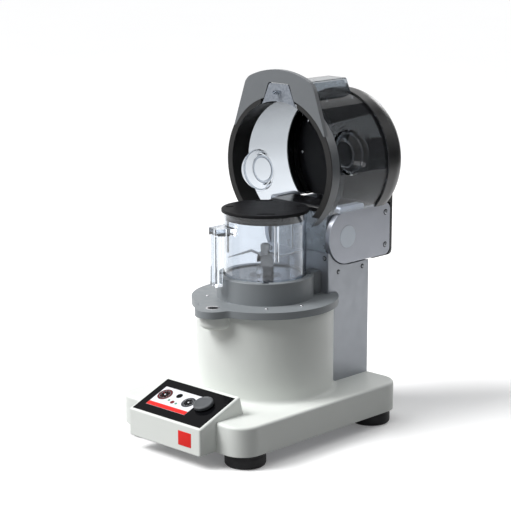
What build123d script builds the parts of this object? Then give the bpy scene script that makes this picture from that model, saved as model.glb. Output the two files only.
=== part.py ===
from build123d import *
import os
from math import atan2, cos, degrees, radians, sin, sqrt

# Bench-top knife mill with a clear hinged hood, shown with the hood open.
# Millimetres. The origin is the drive axis at bench level, +Z up, +X to the
# machine's right, +Y to the rear. The hood, its cheeks and its screws are drawn
# in the open position, in which gravity holds them against their stop.

# Clearances
running_clearance = 0.05
slip_clearance = 0.4
moving_gap = 0.6
seat_gap = 0.3
fit_gap = 0.2

# Base slab and motor tower, one white moulding
base_width = 300.0
base_front = 207.0
base_rear = 188.0
base_corner_radius = 37.0
slab_height = 50.0
slab_edge_radius = 5.0
housing_wall = 3.5
tower_radius = 117.0
tower_height = 146.6
tower_foot_radius = 8.0
bulge_radius = 27.0
bulge_height = 22.0

# Feet and base plate
foot_radius = 34.0
foot_height = 24.0
foot_side_inset = 37.0
foot_front_inset = 43.0
foot_rear_inset = 41.0
foot_post_radius = 9.0
foot_screw_radius = 3.0
base_plate_thickness = 3.0
vent_slot_length = 46.0
vent_slot_width = 4.0
vent_slot_pitch = 10.0
vent_slot_count = 7
rear_slot_rise = 40.0

# Vessel seat, one grey casting
flange_radius = 125.0
flange_thickness = 12.0
ear_reach = 124.5
ear_radius = 30.0
ear_neck_radius = 14.0
seat_wall = 11.4
seat_depth = 36.0
seat_floor_rise = 2.4
seat_block_width = 114.0
boss_radius = 21.0
boss_height = 22.0
boss_wall = 11.3
seat_screw_circle = 98.0
bearing_housing_radius = 22.0
bearing_housing_depth = 12.6

# Hood lock in the ear
lock_ring_radius = 12.0
lock_hole_radius = 9.0
lock_ring_depth = 10.0
lock_module_width = 30.0
lock_module_depth = 24.0
lock_module_height = 18.0

# Column, folded from one sheet
column_width = 145.6
column_front = 80.4
column_depth = 103.6
sheet_thickness = 2.5
column_front_drop = 24.0
column_side_drop = 49.5
column_bend_radius = 3.0
column_foot_flange = 16.0
ledge_width = 14.0
ledge_depth = 9.0

# Hinge
pin_y = 125.0
pin_rise = 93.4
pin_radius = 10.0
pin_cap_radius = 19.5
pin_cap_thickness = 2.0
cheek_radius = 47.0
cheek_thickness = 10.0
cheek_stand_out = 3.2
cheek_tail = 34.5
cheek_corner_radius = 12.0
cheek_side_gap = 2.0
hinge_block_wall = 6.0
hinge_block_drop = 34.0
hinge_block_rear_top = 143.0
hinge_block_cap_height = 10.0
hinge_boss_radius = 19.0
hinge_boss_length = 26.0

# Hood
hood_wall = 3.5
hood_radius = 117.0
closed_gap = 0.4
hood_column_gap = 1.4
hood_depth = 171.0
channel_base_half = 37.0
channel_top_half = 22.5
channel_top_radius = 138.5
channel_length = 146.0
grip_cup_mouth_radius = 40.0
grip_cup_floor_radius = 25.0
grip_cup_depth = 19.0
grip_cup_y = 92.0
grip_cup_tilt = 14.5
drum_collar_length = 14.0
drum_collar_depth = 3.5
tongue_length = 10.0
tongue_width = 8.0
tongue_thickness = 6.0
ring_thickness = 3.3
ring_depth = 20.0
visor_thickness = 8.0
visor_radius = 162.0
visor_half_width = 76.0
visor_foot_angle = 30.0
visor_corner_radius = 26.0
seal_thickness = 4.5
seal_depth = 40.0
rail_length = 62.0
rail_height = 11.0
rail_inset = 37.0
rail_side_gap = 0.5
rail_set_back = 20.0
cap_radius = 119.5
cap_overlap = 23.0
cap_depth = 33.0
cap_edge_radius = 38.0
cap_wall = 4.0
plate_ledge = 8.0
cap_block_drop = 52.0
cap_block_stand_out = 5.5
cap_neck_rise = 76.0

# Vessel, lid and the pieces on the vessel's floor
vessel_radius = 70.0
vessel_wall = 3.0
vessel_height = 143.6
skirt_height = 34.0
vessel_floor = 4.0
floor_hole_radius = 12.5
rib_radius = 4.0
rib_length = 61.0
rib_top_drop = 14.0
lug_reach = 7.5
lug_width = 10.0
lug_height = 14.0
lug_rise = 20.0
lug_angle = 44.0
handle_angle = -105.0
handle_gap = 20.0
handle_thickness = 12.0
handle_width = 24.0
handle_root_width = 44.0
handle_length = 98.0
handle_top_drop = 20.0
handle_arm_height = 12.0
strip_width = 7.0
strip_length = 24.0
strip_depth = 1.2
strip_angle = -88.0
lid_overhang = 4.0
lid_flange_thickness = 5.0
lid_plug_depth = 13.0
lid_plug_wall = 3.0
lid_seal_section = 3.0
lid_seal_width = 1.8
lock_piece_radius = 26.5
lock_piece_height = 18.0
lock_piece_top = 6.0
lock_tab_reach = 5.0
lock_tab_drop = 6.0
lock_tab_width = 11.0

# Knife
knife_hex_flats = 26.0
knife_hex_height = 16.0
spigot_radius = 9.25
spigot_length = 15.0
knife_shaft_radius = 5.0
wing_height = 17.0
wing_spread = 19.0
wing_width = 22.0
wing_thickness = 2.0
blade_thickness = 2.2
blade_root_width = 14.0
blade_tip_width = 6.0
blade_hub_radius = 9.0
blade_span = 62.0
blade_knee = 23.0
blade_angle = 44.0
lower_blade_lag = 78.0
blade_knee_rise = 5.0
blade_tip_rise = 6.0
knife_spacer_radius = 7.6
knife_spacer_height = 8.0
knife_nut_flats = 14.0
knife_nut_height = 7.0
knife_stud_stand = 2.0

# Drive train
shaft_radius = 6.0
coupling_radius = 8.5
coupling_height = 15.0
coupling_flats = 8.2
coupling_depth = 10.0
bearing_outer_radius = 16.0
bearing_width = 10.0
shaft_seal_height = 6.0
motor_radius = 52.0
motor_wall = 3.0
motor_length = 104.0
motor_drop = 24.6
stator_thickness = 12.0
armature_radius = 34.0
armature_length = 66.0
bracket_radius = 72.0
bracket_thickness = 6.0
bracket_post_radius = 6.0
bracket_post_circle = 62.0
fan_radius = 44.0
fan_height = 14.0
fan_blade_count = 8

# Console
console_width = 169.0
console_offset = 5.0
console_front = 242.6
console_front_height = 45.5
console_rear = 153.0
console_rear_height = 80.6
console_wall = 3.0
panel_width = 159.0
panel_length = 86.0
panel_thickness = 2.0
panel_front_margin = 4.5
screen_width = 92.0
screen_length = 51.0
screen_offset = -18.7
screen_front_margin = 17.0
screen_depth = 3.6
board_thickness = 1.6
board_width = 130.0
board_length = 60.0
knob_radius = 17.0
knob_height = 8.0
knob_offset = 42.5
knob_front_margin = 49.5
knob_travel = 1.0
spindle_radius = 3.0
encoder_width = 14.0
encoder_depth = 4.2
tile_width = 30.0
tile_height = 24.0
tile_thickness = 1.5
tile_offset = 48.5
tile_bottom_margin = 10.5

# Mains side
inlet_width = 48.0
inlet_height = 28.0
inlet_depth = 24.0
inlet_side_inset = 70.0
inlet_flange = 3.0
rocker_width = 12.0
rocker_height = 18.0
rocker_depth = 9.0
rocker_throw = 12.0
supply_width = 90.0
supply_length = 60.0
supply_height = 32.0
supply_left = -20.0
supply_rear_inset = 36.0

# Screws
small_head_radius = 2.6
small_head_height = 1.6
small_shank_radius = 1.5
small_shank_length = 7.0
seat_screw_angles = (-131.0, -45.0, -8.0, 188.0)
front_screw_inset = 10.0
front_screw_drop = 9.0
side_screw_drop = 9.5
side_screw_front_inset = 24.6
side_screw_rear_inset = 16.0
rear_screw_side_inset = 12.0
rear_screw_rise = 20.0
rear_screw_drop = 22.0
cheek_head_radius = 3.8
cheek_screw_bite = 8.0
cheek_screw_inset = 13.0
cheek_screw_rise = 29.0

# Levels and places that follow from the sizes above
slab_top = foot_height + slab_height
tower_top = slab_top + tower_height
flange_top = tower_top + flange_thickness
well_floor = flange_top + seat_floor_rise
seat_bore = vessel_radius + moving_gap
seat_radius = seat_bore + seat_wall
seat_top = well_floor + seat_depth
boss_top = well_floor + boss_height
boss_bore = boss_radius - boss_wall
pin_z = flange_top + pin_rise
column_front_top = pin_z - column_front_drop
column_side_top = pin_z - column_side_drop
column_rear = column_front + column_depth
column_half = column_width / 2
sheet_back = column_front + sheet_thickness
pocket_half = column_half + slip_clearance
ring_face = pin_y - (pin_z - flange_top - closed_gap)
hood_axis = pin_z + pin_y
hood_inner = hood_radius - hood_wall
chord_z = pin_z + (pin_y - column_front) + hood_column_gap
cheek_top = chord_z - 1.0
cheek_bottom = pin_z - cheek_radius
cheek_outer_x = column_half + cheek_stand_out
cheek_inner_x = cheek_outer_x - cheek_thickness
block_half = cheek_inner_x - cheek_side_gap
drum_front = ring_face + 2.0
drum_rear = ring_face + hood_depth
cheek_rear = drum_rear + cheek_tail
cap_front = drum_rear - cap_overlap
cap_rear = drum_rear + cap_depth
cap_block_bottom = pin_z - cap_block_drop
cap_block_rear = cheek_rear + cap_block_stand_out
cap_neck_top = pin_z + cap_neck_rise
vessel_top = well_floor + vessel_height
vessel_bore = vessel_radius - vessel_wall
floor_top = well_floor + skirt_height
floor_under = floor_top - vessel_floor
motor_top = tower_top - motor_drop
motor_bottom = motor_top - motor_length
knife_hex_top = floor_top + knife_hex_height
wing_top = knife_hex_top + 2.0 + wing_height
blade_level = wing_top + blade_thickness
spacer_top = blade_level + knife_spacer_height
nut_top = spacer_top + knife_nut_height
ear_y = -ear_reach
inlet_z = foot_height + slab_height / 2
inlet_offset = inlet_side_inset - base_width / 2
reach = base_width + hood_axis + visor_radius
foot_places = [
    (side * (base_width / 2 - foot_side_inset), y)
    for side in (-1, 1)
    for y in (-base_front + foot_front_inset, base_rear - foot_rear_inset)
]


def block(x0, x1, y0, y1, z0, z1):
    """A box given by its limits along each axis."""
    centre = Pos((x0 + x1) / 2, (y0 + y1) / 2, (z0 + z1) / 2)
    return centre * Box(x1 - x0, y1 - y0, z1 - z0)


def post(radius, z0, z1, x=0.0, y=0.0):
    """An upright round bar between two levels."""
    return Pos(x, y, (z0 + z1) / 2) * Cylinder(radius, z1 - z0)


def bar_x(radius, x0, x1, y, z):
    """A round bar along X."""
    return Pos((x0 + x1) / 2, y, z) * Rot(0, 90, 0) * Cylinder(radius, x1 - x0)


def bar_y(radius, y0, y1, x=0.0, z=hood_axis):
    """A round bar along Y, by default on the hood's axis."""
    return Pos(x, (y0 + y1) / 2, z) * Rot(90, 0, 0) * Cylinder(radius, y1 - y0)


def hexagon(flats, z0, z1):
    """An upright hexagonal bar on the drive axis."""
    sketch = RegularPolygon(flats / sqrt(3), 6)
    return Pos(0, 0, z0) * extrude(sketch, z1 - z0)


def side_profile(points, x0, x1):
    """A solid whose outline is drawn in the YZ plane, between two X limits."""
    face = make_face(Plane.YZ * Polyline(*points, close=True))
    return Pos(x0, 0, 0) * extrude(face, x1 - x0, dir=(1, 0, 0))


def front_profile(sketch, y0, y1):
    """A solid whose outline is drawn in the XZ plane, between two Y limits."""
    plane = Plane(origin=(0, y0, 0), x_dir=(1, 0, 0), z_dir=(0, -1, 0))
    return extrude(plane * sketch, y1 - y0, dir=(0, 1, 0))


def polar(radius, angle):
    """The X and Y of a point on a circle about the drive axis."""
    return radius * cos(radians(angle)), radius * sin(radians(angle))


def turned(shape, angle):
    """The shape turned about the drive axis."""
    return Rot(0, 0, angle) * shape


def screw(head_radius=small_head_radius, head_height=small_head_height, length=small_shank_length):
    """A pan-head screw along -Z, with its head's seat at the origin."""
    head = Pos(0, 0, head_height / 2) * Cylinder(head_radius, head_height)
    shank = Pos(0, 0, -length / 2) * Cylinder(small_shank_radius, length)
    return head + shank


def screw_hole(length=small_shank_length):
    """The hole that a small screw needs below its seat."""
    return Pos(0, 0, -length / 2) * Cylinder(small_shank_radius, length)


def along_y(shape):
    """A shape made along +Z, laid so that it points to -Y."""
    return Rot(90, 0, 0) * shape


def along_x(shape, side):
    """A shape made along +Z, laid so that it points to the given side."""
    return Rot(0, 90 * side, 0) * shape


seat_screw_places = [polar(seat_screw_circle, angle) for angle in seat_screw_angles]
front_screw_places = [
    (side * (column_half - front_screw_inset), column_front_top - front_screw_drop) for side in (-1, 1)
]
side_screw_places = [
    (y, column_side_top - side_screw_drop)
    for y in (column_front + side_screw_front_inset, column_rear - side_screw_rear_inset)
]
rear_screw_places = [
    (side * (column_half - rear_screw_side_inset), z)
    for side in (-1, 1)
    for z in (slab_top + rear_screw_rise, column_side_top - rear_screw_drop)
]
cheek_screw_places = [
    (cheek_rear - cheek_screw_inset, pin_z + side * cheek_screw_rise) for side in (1, -1)
]


# Base

def make_housing():
    """The white slab and motor tower, moulded in one piece and open below."""
    slab_plan = Pos(0, (base_rear - base_front) / 2) * RectangleRounded(
        base_width, base_front + base_rear, base_corner_radius
    )
    slab = Pos(0, 0, foot_height) * extrude(slab_plan, slab_height)
    slab = fillet(slab.faces().sort_by(Axis.Z)[-1].edges(), slab_edge_radius)
    outer = slab + post(tower_radius, slab_top - 1, tower_top)
    foot_edges = outer.edges().filter_by(GeomType.CIRCLE)
    foot_edges = [
        edge for edge in foot_edges
        if abs(edge.radius - tower_radius) < 0.01 and abs(edge.center().Z - slab_top) < 0.01
    ]
    outer = fillet(foot_edges, tower_foot_radius)
    bulge = post(bulge_radius, tower_top - bulge_height, tower_top, 0, ear_y + 6)
    bulge = fillet(bulge.edges().sort_by(Axis.Z)[0], bulge_height * 0.4)
    outer = outer + bulge
    outer -= block(-pocket_half, pocket_half, column_front - slip_clearance, reach,
                   slab_top, tower_top + 1)
    inner_plan = offset(slab_plan, -housing_wall)
    inner = Pos(0, 0, foot_height - 1) * extrude(inner_plan, slab_height + 1 - housing_wall)
    cavity_limit = column_front - slip_clearance - housing_wall
    tower_hollow = post(tower_radius - housing_wall, slab_top - housing_wall - 1, tower_top + 1)
    tower_hollow -= block(-base_width, base_width, cavity_limit, base_width,
                          slab_top - housing_wall, tower_top + 2)
    bulge_hollow = post(bulge_radius - housing_wall, tower_top - bulge_height + housing_wall,
                        tower_top + 1, 0, ear_y + 6)
    housing = outer - inner - tower_hollow - bulge_hollow
    plate_top = foot_height + base_plate_thickness
    for x, y in foot_places:
        housing += post(foot_post_radius, plate_top, slab_top - housing_wall, x, y)
        housing -= post(foot_screw_radius, plate_top - 1, plate_top + 14, x, y)
    window = block(inlet_offset - inlet_width / 2, inlet_offset + inlet_width / 2,
                   base_rear - housing_wall - 1, base_rear + 1,
                   inlet_z - inlet_height / 2, inlet_z + inlet_height / 2)
    return housing - window


def make_base_plate():
    """The plate that closes the base, with two rows of cooling slots."""
    plan = Pos(0, (base_rear - base_front) / 2) * RectangleRounded(
        base_width - 2 * (housing_wall + slip_clearance),
        base_front + base_rear - 2 * (housing_wall + slip_clearance),
        base_corner_radius - housing_wall,
    )
    plate = Pos(0, 0, foot_height) * extrude(plan, base_plate_thickness)
    slot = Rectangle(vent_slot_length, vent_slot_width)
    first = -(vent_slot_count - 1) / 2
    slots = Sketch() + [
        Pos(side * (vent_slot_length / 2 + 6), (first + row) * vent_slot_pitch) * slot
        for side in (-1, 1)
        for row in range(vent_slot_count)
    ]
    plate -= Pos(0, 0, foot_height - 1) * extrude(slots, base_plate_thickness + 2)
    for x, y in foot_places:
        plate -= post(foot_screw_radius, foot_height - 1, foot_height + 9, x, y)
    return plate


def make_feet():
    """Four rubber feet with a bevelled tread and a recess for the screw head."""
    foot = post(foot_radius, 0, foot_height)
    foot = chamfer(foot.edges().sort_by(Axis.Z)[0], 3)
    foot = foot - post(foot_screw_radius * 2.2, -1, 10) - post(foot_screw_radius, 0, foot_height + 1)
    return [Pos(x, y, 0) * foot for x, y in foot_places]


def make_foot_screws():
    """The screws that hold the feet and the base plate to the posts of the housing."""
    head = post(foot_screw_radius * 2, 5, 10)
    shank = post(foot_screw_radius, 10, foot_height + base_plate_thickness + 12)
    return [Pos(x, y, 0) * (head + shank) for x, y in foot_places]


# Vessel seat

def make_vessel_seat():
    """The grey casting: flange with its ear, round well, boss and bearing housing."""
    ear = Pos(0, ear_y) * Circle(ear_radius)
    flange = Pos(0, 0, tower_top) * extrude(Circle(flange_radius) + ear, flange_thickness)
    necks = flange.edges().filter_by(Axis.Z).filter_by(lambda e: e.center().Y < -flange_radius * 0.7)
    flange = fillet(necks, ear_neck_radius)
    flange -= block(-pocket_half, pocket_half, column_front - slip_clearance, column_rear,
                    tower_top - 1, flange_top + 1)
    rear = column_front - slip_clearance
    block_plan = Pos(0, rear / 2) * Rectangle(seat_block_width, rear)
    wall = Pos(0, 0, flange_top - 1) * extrude(Circle(seat_radius) + block_plan, seat_top - flange_top + 1)
    wall = fillet(wall.edges().filter_by(Axis.Z), 3)
    wall = chamfer(wall.faces().sort_by(Axis.Z)[-1].edges(), 0.8)
    wall -= block(-base_width, base_width, rear, base_width, tower_top, seat_top + 1)
    seat = flange + wall - post(seat_bore, well_floor, seat_top + 1)
    groove = block(seat_bore - 3, vessel_radius + lug_reach + moving_gap, -lug_width / 2 - moving_gap,
                   lug_width / 2 + moving_gap, well_floor + lug_rise - moving_gap, seat_top + 1)
    for quarter in range(4):
        seat -= turned(groove, lug_angle + 90 * quarter)
    seat += post(boss_radius, well_floor - 1, boss_top)
    seat += post(bearing_housing_radius, tower_top - bearing_housing_depth, tower_top + 1)
    seat -= post(boss_bore, well_floor - shaft_seal_height - 4, boss_top + 1)
    seat -= post(shaft_radius + moving_gap, tower_top - 2 * bearing_housing_depth, boss_top)
    seat -= post(bearing_outer_radius, tower_top - bearing_housing_depth - 1,
                 tower_top - bearing_housing_depth + bearing_width)
    seat -= post(lock_ring_radius, flange_top - lock_ring_depth, flange_top + 1, 0, ear_y)
    seat -= post(lock_hole_radius, tower_top - 1, flange_top, 0, ear_y)
    for x, y in seat_screw_places:
        seat -= Pos(x, y, flange_top) * screw_hole()
    return seat


def make_seat_screws():
    """The screws that hold the seat to the tower."""
    return [Pos(x, y, flange_top) * screw() for x, y in seat_screw_places]


def make_lock_ring():
    """The steel ring in the ear that takes the hood's tongue."""
    ring = post(lock_ring_radius, flange_top - lock_ring_depth, flange_top, 0, ear_y)
    return ring - post(lock_hole_radius, tower_top, flange_top + 1, 0, ear_y)


def make_lock_module():
    """The sealed door-lock unit in the bulge below the ear."""
    top = tower_top - seat_gap
    module = block(-lock_module_width / 2, lock_module_width / 2, ear_y - 12,
                   ear_y - 12 + lock_module_depth, top - lock_module_height, top)
    return module - post(lock_hole_radius, top - 8, top + 1, 0, ear_y)


# Column and fixed hinge block

def make_column():
    """The folded sheet: front plate, two sides cut round the cheeks, foot flanges."""
    rear = column_rear
    outer = block(-column_half, column_half, column_front, rear, slab_top, column_front_top)
    outer = fillet(outer.edges().filter_by(Axis.Z).sort_by(Axis.Y)[:2], column_bend_radius)
    inner = block(-column_half + sheet_thickness, column_half - sheet_thickness, sheet_back,
                  rear + 1, slab_top + sheet_thickness, column_front_top + 1)
    floor_gap = block(-column_half + column_foot_flange, column_half - column_foot_flange,
                      sheet_back, rear + 1, slab_top - 1, slab_top + sheet_thickness + 1)
    side_cut = block(-column_half - 1, column_half + 1, pin_y, rear + 1, column_side_top,
                     column_front_top + 1)
    arch = bar_x(cheek_radius + 1.6, -column_half - 1, column_half + 1, pin_y, pin_z)
    arch -= block(-column_half - 2, column_half + 2, column_front - 1, sheet_back, 0, reach)
    column = outer - inner - floor_gap - side_cut - arch
    for x, z in front_screw_places:
        column -= Pos(x, column_front, z) * along_y(screw_hole())
    for y, z in side_screw_places:
        for side in (-1, 1):
            column -= Pos(side * column_half, y, z) * along_x(screw_hole(), side)
    return column


def make_column_rear_cover():
    """The flat cover between the sides at the back of the column, with two rows of slots."""
    half = column_half - sheet_thickness - seat_gap
    cover = block(-half, half, column_rear - sheet_thickness, column_rear,
                  slab_top + sheet_thickness + seat_gap, column_side_top - 1)
    slot = Rectangle(vent_slot_width, vent_slot_length / 2)
    slots = Sketch() + [
        Pos((index - 2) * vent_slot_pitch * 1.5, slab_top + rear_slot_rise) * slot for index in range(5)
    ]
    cover -= front_profile(slots, column_rear - sheet_thickness - 1, column_rear + 1)
    for x, z in rear_screw_places:
        cover -= Pos(x, column_rear, z) * Rot(180, 0, 0) * along_y(screw_hole())
    return cover


def make_rear_ledges():
    """Two angle strips inside the column that carry the rear cover."""
    back = column_rear - sheet_thickness
    bottom = slab_top + sheet_thickness + seat_gap
    strips = []
    for side in (-1, 1):
        near = side * (column_half - sheet_thickness)
        far = side * (column_half - sheet_thickness - ledge_width)
        strip = block(min(near, far), max(near, far), back - ledge_depth, back, bottom,
                      column_side_top - 2 * sheet_thickness)
        for x, z in rear_screw_places:
            strip -= Pos(x, column_rear, z) * Rot(180, 0, 0) * along_y(screw_hole(ledge_depth))
        strips.append(strip)
    return strips


def make_column_screws():
    """Two screws in front, two on each side and four in the rear cover."""
    screws = [Pos(x, column_front, z) * along_y(screw()) for x, z in front_screw_places]
    for y, z in side_screw_places:
        screws += [Pos(side * column_half, y, z) * along_x(screw(), side) for side in (-1, 1)]
    screws += [Pos(x, column_rear, z) * Rot(180, 0, 0) * along_y(screw()) for x, z in rear_screw_places]
    return screws


def make_hinge_block():
    """The fixed casting between the cheeks, bolted inside the column and open below."""
    bottom = column_side_top - hinge_block_drop
    rear = column_rear - sheet_thickness - 12
    slope = [(hinge_block_rear_top, cheek_top), (rear, pin_z - 20), (rear, bottom)]
    body = side_profile([(sheet_back, bottom), (sheet_back, cheek_top)] + slope, -block_half, block_half)
    wide = column_half - sheet_thickness
    body += block(-wide, wide, sheet_back, rear, bottom, column_side_top - 1.5)
    wall = hinge_block_wall
    core_rear = rear - wall
    slope = [(hinge_block_rear_top - 2, cheek_top - wall), (core_rear, pin_z - 22), (core_rear, bottom - 1)]
    core = [(sheet_back + wall, bottom - 1), (sheet_back + wall, cheek_top - wall)] + slope
    body -= side_profile(core, -block_half + wall, block_half - wall)
    for side in (-1, 1):
        boss_end = side * (block_half - hinge_boss_length)
        boss_root = side * (block_half - wall)
        boss = bar_x(hinge_boss_radius, min(boss_end, boss_root), max(boss_end, boss_root), pin_y, pin_z)
        body += boss
    body -= bar_x(pin_radius, -column_half, column_half, pin_y, pin_z)
    for x, z in front_screw_places:
        body -= Pos(x, column_front, z) * along_y(screw_hole())
    for y, z in side_screw_places:
        for side in (-1, 1):
            body -= Pos(side * column_half, y, z) * along_x(screw_hole(), side)
    return body


def make_hinge_block_cap():
    """The black cap on top of the hinge block, with a rounded front edge."""
    cap = block(-block_half, block_half, column_front, hinge_block_rear_top, cheek_top,
                cheek_top + hinge_block_cap_height)
    long_edges = cap.edges().filter_by(Axis.X).group_by(Axis.Z)[-1]
    return fillet(long_edges, hinge_block_cap_height * 0.45)


def make_hinge_pins():
    """Two fixed stub pins, one through each cheek into its boss."""
    reach = cheek_outer_x - pin_cap_thickness - moving_gap
    root = block_half - hinge_boss_length
    pins = []
    for side in (-1, 1):
        pins.append(bar_x(pin_radius, min(side * root, side * reach), max(side * root, side * reach),
                          pin_y, pin_z))
    return pins


# Hood

def make_cheek(side):
    """One moving side plate: round about the pin, running back to the rear casting."""
    x0, x1 = sorted((side * cheek_inner_x, side * cheek_outer_x))
    plate = block(x0, x1, pin_y, cheek_rear, cheek_bottom, cheek_top)
    plate = fillet(plate.edges().filter_by(Axis.X).sort_by(Axis.Y)[-2:], cheek_corner_radius)
    round_front = bar_x(cheek_radius, x0, x1, pin_y, pin_z)
    round_front -= block(x0 - 1, x1 + 1, 0, cheek_rear, cheek_top, reach)
    cheek = plate + round_front
    face = cheek.faces().sort_by(Axis.X)[-1 if side > 0 else 0]
    cheek = fillet(face.edges(), 1.2)
    cheek -= bar_x(pin_radius + running_clearance, -reach, reach, pin_y, pin_z)
    cap_seat = bar_x(pin_cap_radius, cheek_outer_x - pin_cap_thickness, cheek_outer_x + 1, pin_y, pin_z)
    if side < 0:
        cap_seat = mirror(cap_seat, Plane.YZ)
    cheek -= cap_seat
    for y, z in cheek_screw_places:
        cheek -= Pos(side * cheek_outer_x, y, z) * along_x(screw_hole(cheek_thickness), side)
    return cheek


def make_pin_caps():
    """The round plugs that cover the pins, let into the cheeks."""
    cap = bar_x(pin_cap_radius, cheek_outer_x - pin_cap_thickness, cheek_outer_x + 0.4, pin_y, pin_z)
    return [cap, mirror(cap, Plane.YZ)]


def make_cheek_screws():
    """Two screws through each cheek into the rear casting."""
    screws = []
    for y, z in cheek_screw_places:
        for side in (-1, 1):
            length = cheek_thickness + cheek_screw_bite
            head = along_x(screw(cheek_head_radius, small_head_height, length), side)
            screws.append(Pos(side * cheek_outer_x, y, z) * head)
    return screws


def channel_outline(margin):
    """The raised channel on top of the hood, seen from the front, grown by a margin."""
    base = hood_axis + sqrt(hood_inner ** 2 - channel_base_half ** 2) - 6
    top = hood_axis + channel_top_radius + margin
    outline = Polyline(
        (-channel_base_half - margin, base),
        (-channel_top_half - margin, top),
        (channel_top_half + margin, top),
        (channel_base_half + margin, base),
        close=True,
    )
    face = make_face(outline)
    corners = face.vertices().filter_by(lambda v: v.Y > top - 1)
    return fillet(corners, 5)


def grip_cup(grow, side):
    """A tapered round plug on the tilted cross axis, from the cup's floor out past the drum."""
    flare = (grip_cup_mouth_radius - grip_cup_floor_radius) / grip_cup_depth
    start = hood_radius - grip_cup_depth - grow
    length = 2 * grip_cup_depth
    plug = Cone(grip_cup_floor_radius + grow, grip_cup_floor_radius + grow + flare * length, length)
    plug = Pos(side * (start + length / 2), 0, 0) * Rot(0, 90 * side, 0) * plug
    return Pos(0, grip_cup_y, hood_axis) * Rot(0, -grip_cup_tilt, 0) * plug


def make_hood_drum():
    """The clear moulding: drum, raised channel, two grip cups and the lock tongue."""
    channel_end = ring_face + channel_length
    outer = bar_y(hood_radius, drum_front, drum_rear)
    outer += front_profile(channel_outline(0), drum_front, channel_end)
    inner = bar_y(hood_inner, drum_front - 1, drum_rear + 1)
    inner += front_profile(channel_outline(-hood_wall), drum_front + hood_wall, channel_end - hood_wall)
    drum = outer - inner
    collar = bar_y(hood_inner + 1, drum_rear - drum_collar_length, drum_rear)
    drum += collar - bar_y(hood_inner - drum_collar_depth, drum_front, drum_rear + 1)
    for side in (-1, 1):
        drum += grip_cup(hood_wall, side) & bar_y(hood_radius - 0.5, drum_front, drum_rear)
        drum -= grip_cup(0, side)
    drum -= block(-hood_radius, hood_radius, 0, drum_rear + 1, 0, chord_z)
    tongue_z = hood_axis + ear_reach
    tongue = block(-tongue_width / 2, tongue_width / 2, ring_face - tongue_length, drum_front + hood_wall,
                   tongue_z - tongue_thickness / 2, tongue_z + tongue_thickness / 2)
    return drum + tongue


def visor_outline():
    """The front outline of the visor: a crown on the hood's axis with straight flanks."""
    foot = visor_foot_angle
    outer = hood_radius + ring_thickness
    foot_x = outer * cos(radians(foot))
    foot_z = hood_axis + outer * sin(radians(foot))
    shoulder_z = hood_axis + sqrt(visor_radius ** 2 - visor_half_width ** 2)
    crown = ThreePointArc(
        (-visor_half_width, shoulder_z), (0, hood_axis + visor_radius), (visor_half_width, shoulder_z)
    )
    left = Line((-foot_x, foot_z), (-visor_half_width, shoulder_z))
    right = Line((visor_half_width, shoulder_z), (foot_x, foot_z))
    base = Line((foot_x, foot_z), (-foot_x, foot_z))
    face = make_face([left, crown, right, base])
    shoulders = face.vertices().filter_by(lambda v: v.Y > shoulder_z - 1)
    return fillet(shoulders, visor_corner_radius)


def make_front_ring():
    """The grey ring round the hood's mouth, with its visor and two tapered horns."""
    outer = hood_radius + ring_thickness
    inner = hood_radius + fit_gap
    band = bar_y(outer, drum_front, ring_face + ring_depth)
    visor = front_profile(visor_outline(), ring_face, ring_face + visor_thickness)
    ring = band + visor - bar_y(inner, ring_face - 1, ring_face + ring_depth + 1)
    ring -= front_profile(channel_outline(1.2), ring_face - 1, ring_face + ring_depth + 1)
    horn_x = column_half + 0.8
    ring -= block(-horn_x, horn_x, 0, ring_face + ring_depth + 1, 0, chord_z + 1)
    return ring


def make_ring_seal():
    """The black profile seal inside the hood's mouth, with a lip over the drum's edge."""
    inner = hood_inner - seal_thickness
    band = bar_y(hood_inner - fit_gap, ring_face, ring_face + seal_depth)
    lip_back = drum_front - fit_gap
    lip = bar_y(hood_radius + ring_thickness, ring_face, lip_back)
    lip -= front_profile(offset(visor_outline(), fit_gap), ring_face - 1, lip_back + 1)
    lip += bar_y(hood_radius, ring_face, lip_back)
    seal = band + lip - bar_y(inner, ring_face - 1, ring_face + seal_depth + 1)
    seal -= block(-reach, reach, 0, reach, 0, chord_z + 1)
    for side in (-1, 1):
        seal -= grip_cup(hood_wall + seat_gap, side)
    half = channel_base_half + 4
    return seal - block(-half, half, 0, ring_face + seal_depth + 1, hood_axis, reach)


def make_drum_rails():
    """Two light rails on the cheeks that carry the lower edges of the drum."""
    front = pin_y - cheek_radius + rail_set_back
    rails = []
    for side in (-1, 1):
        x0, x1 = sorted((side * (cheek_inner_x + rail_side_gap), side * (hood_radius - rail_inset)))
        rail = block(x0, x1, front, front + rail_length, cheek_top, cheek_top + rail_height)
        rails.append(fillet(rail.edges().filter_by(Axis.X).group_by(Axis.Z)[-1], 5))
    return rails


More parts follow.
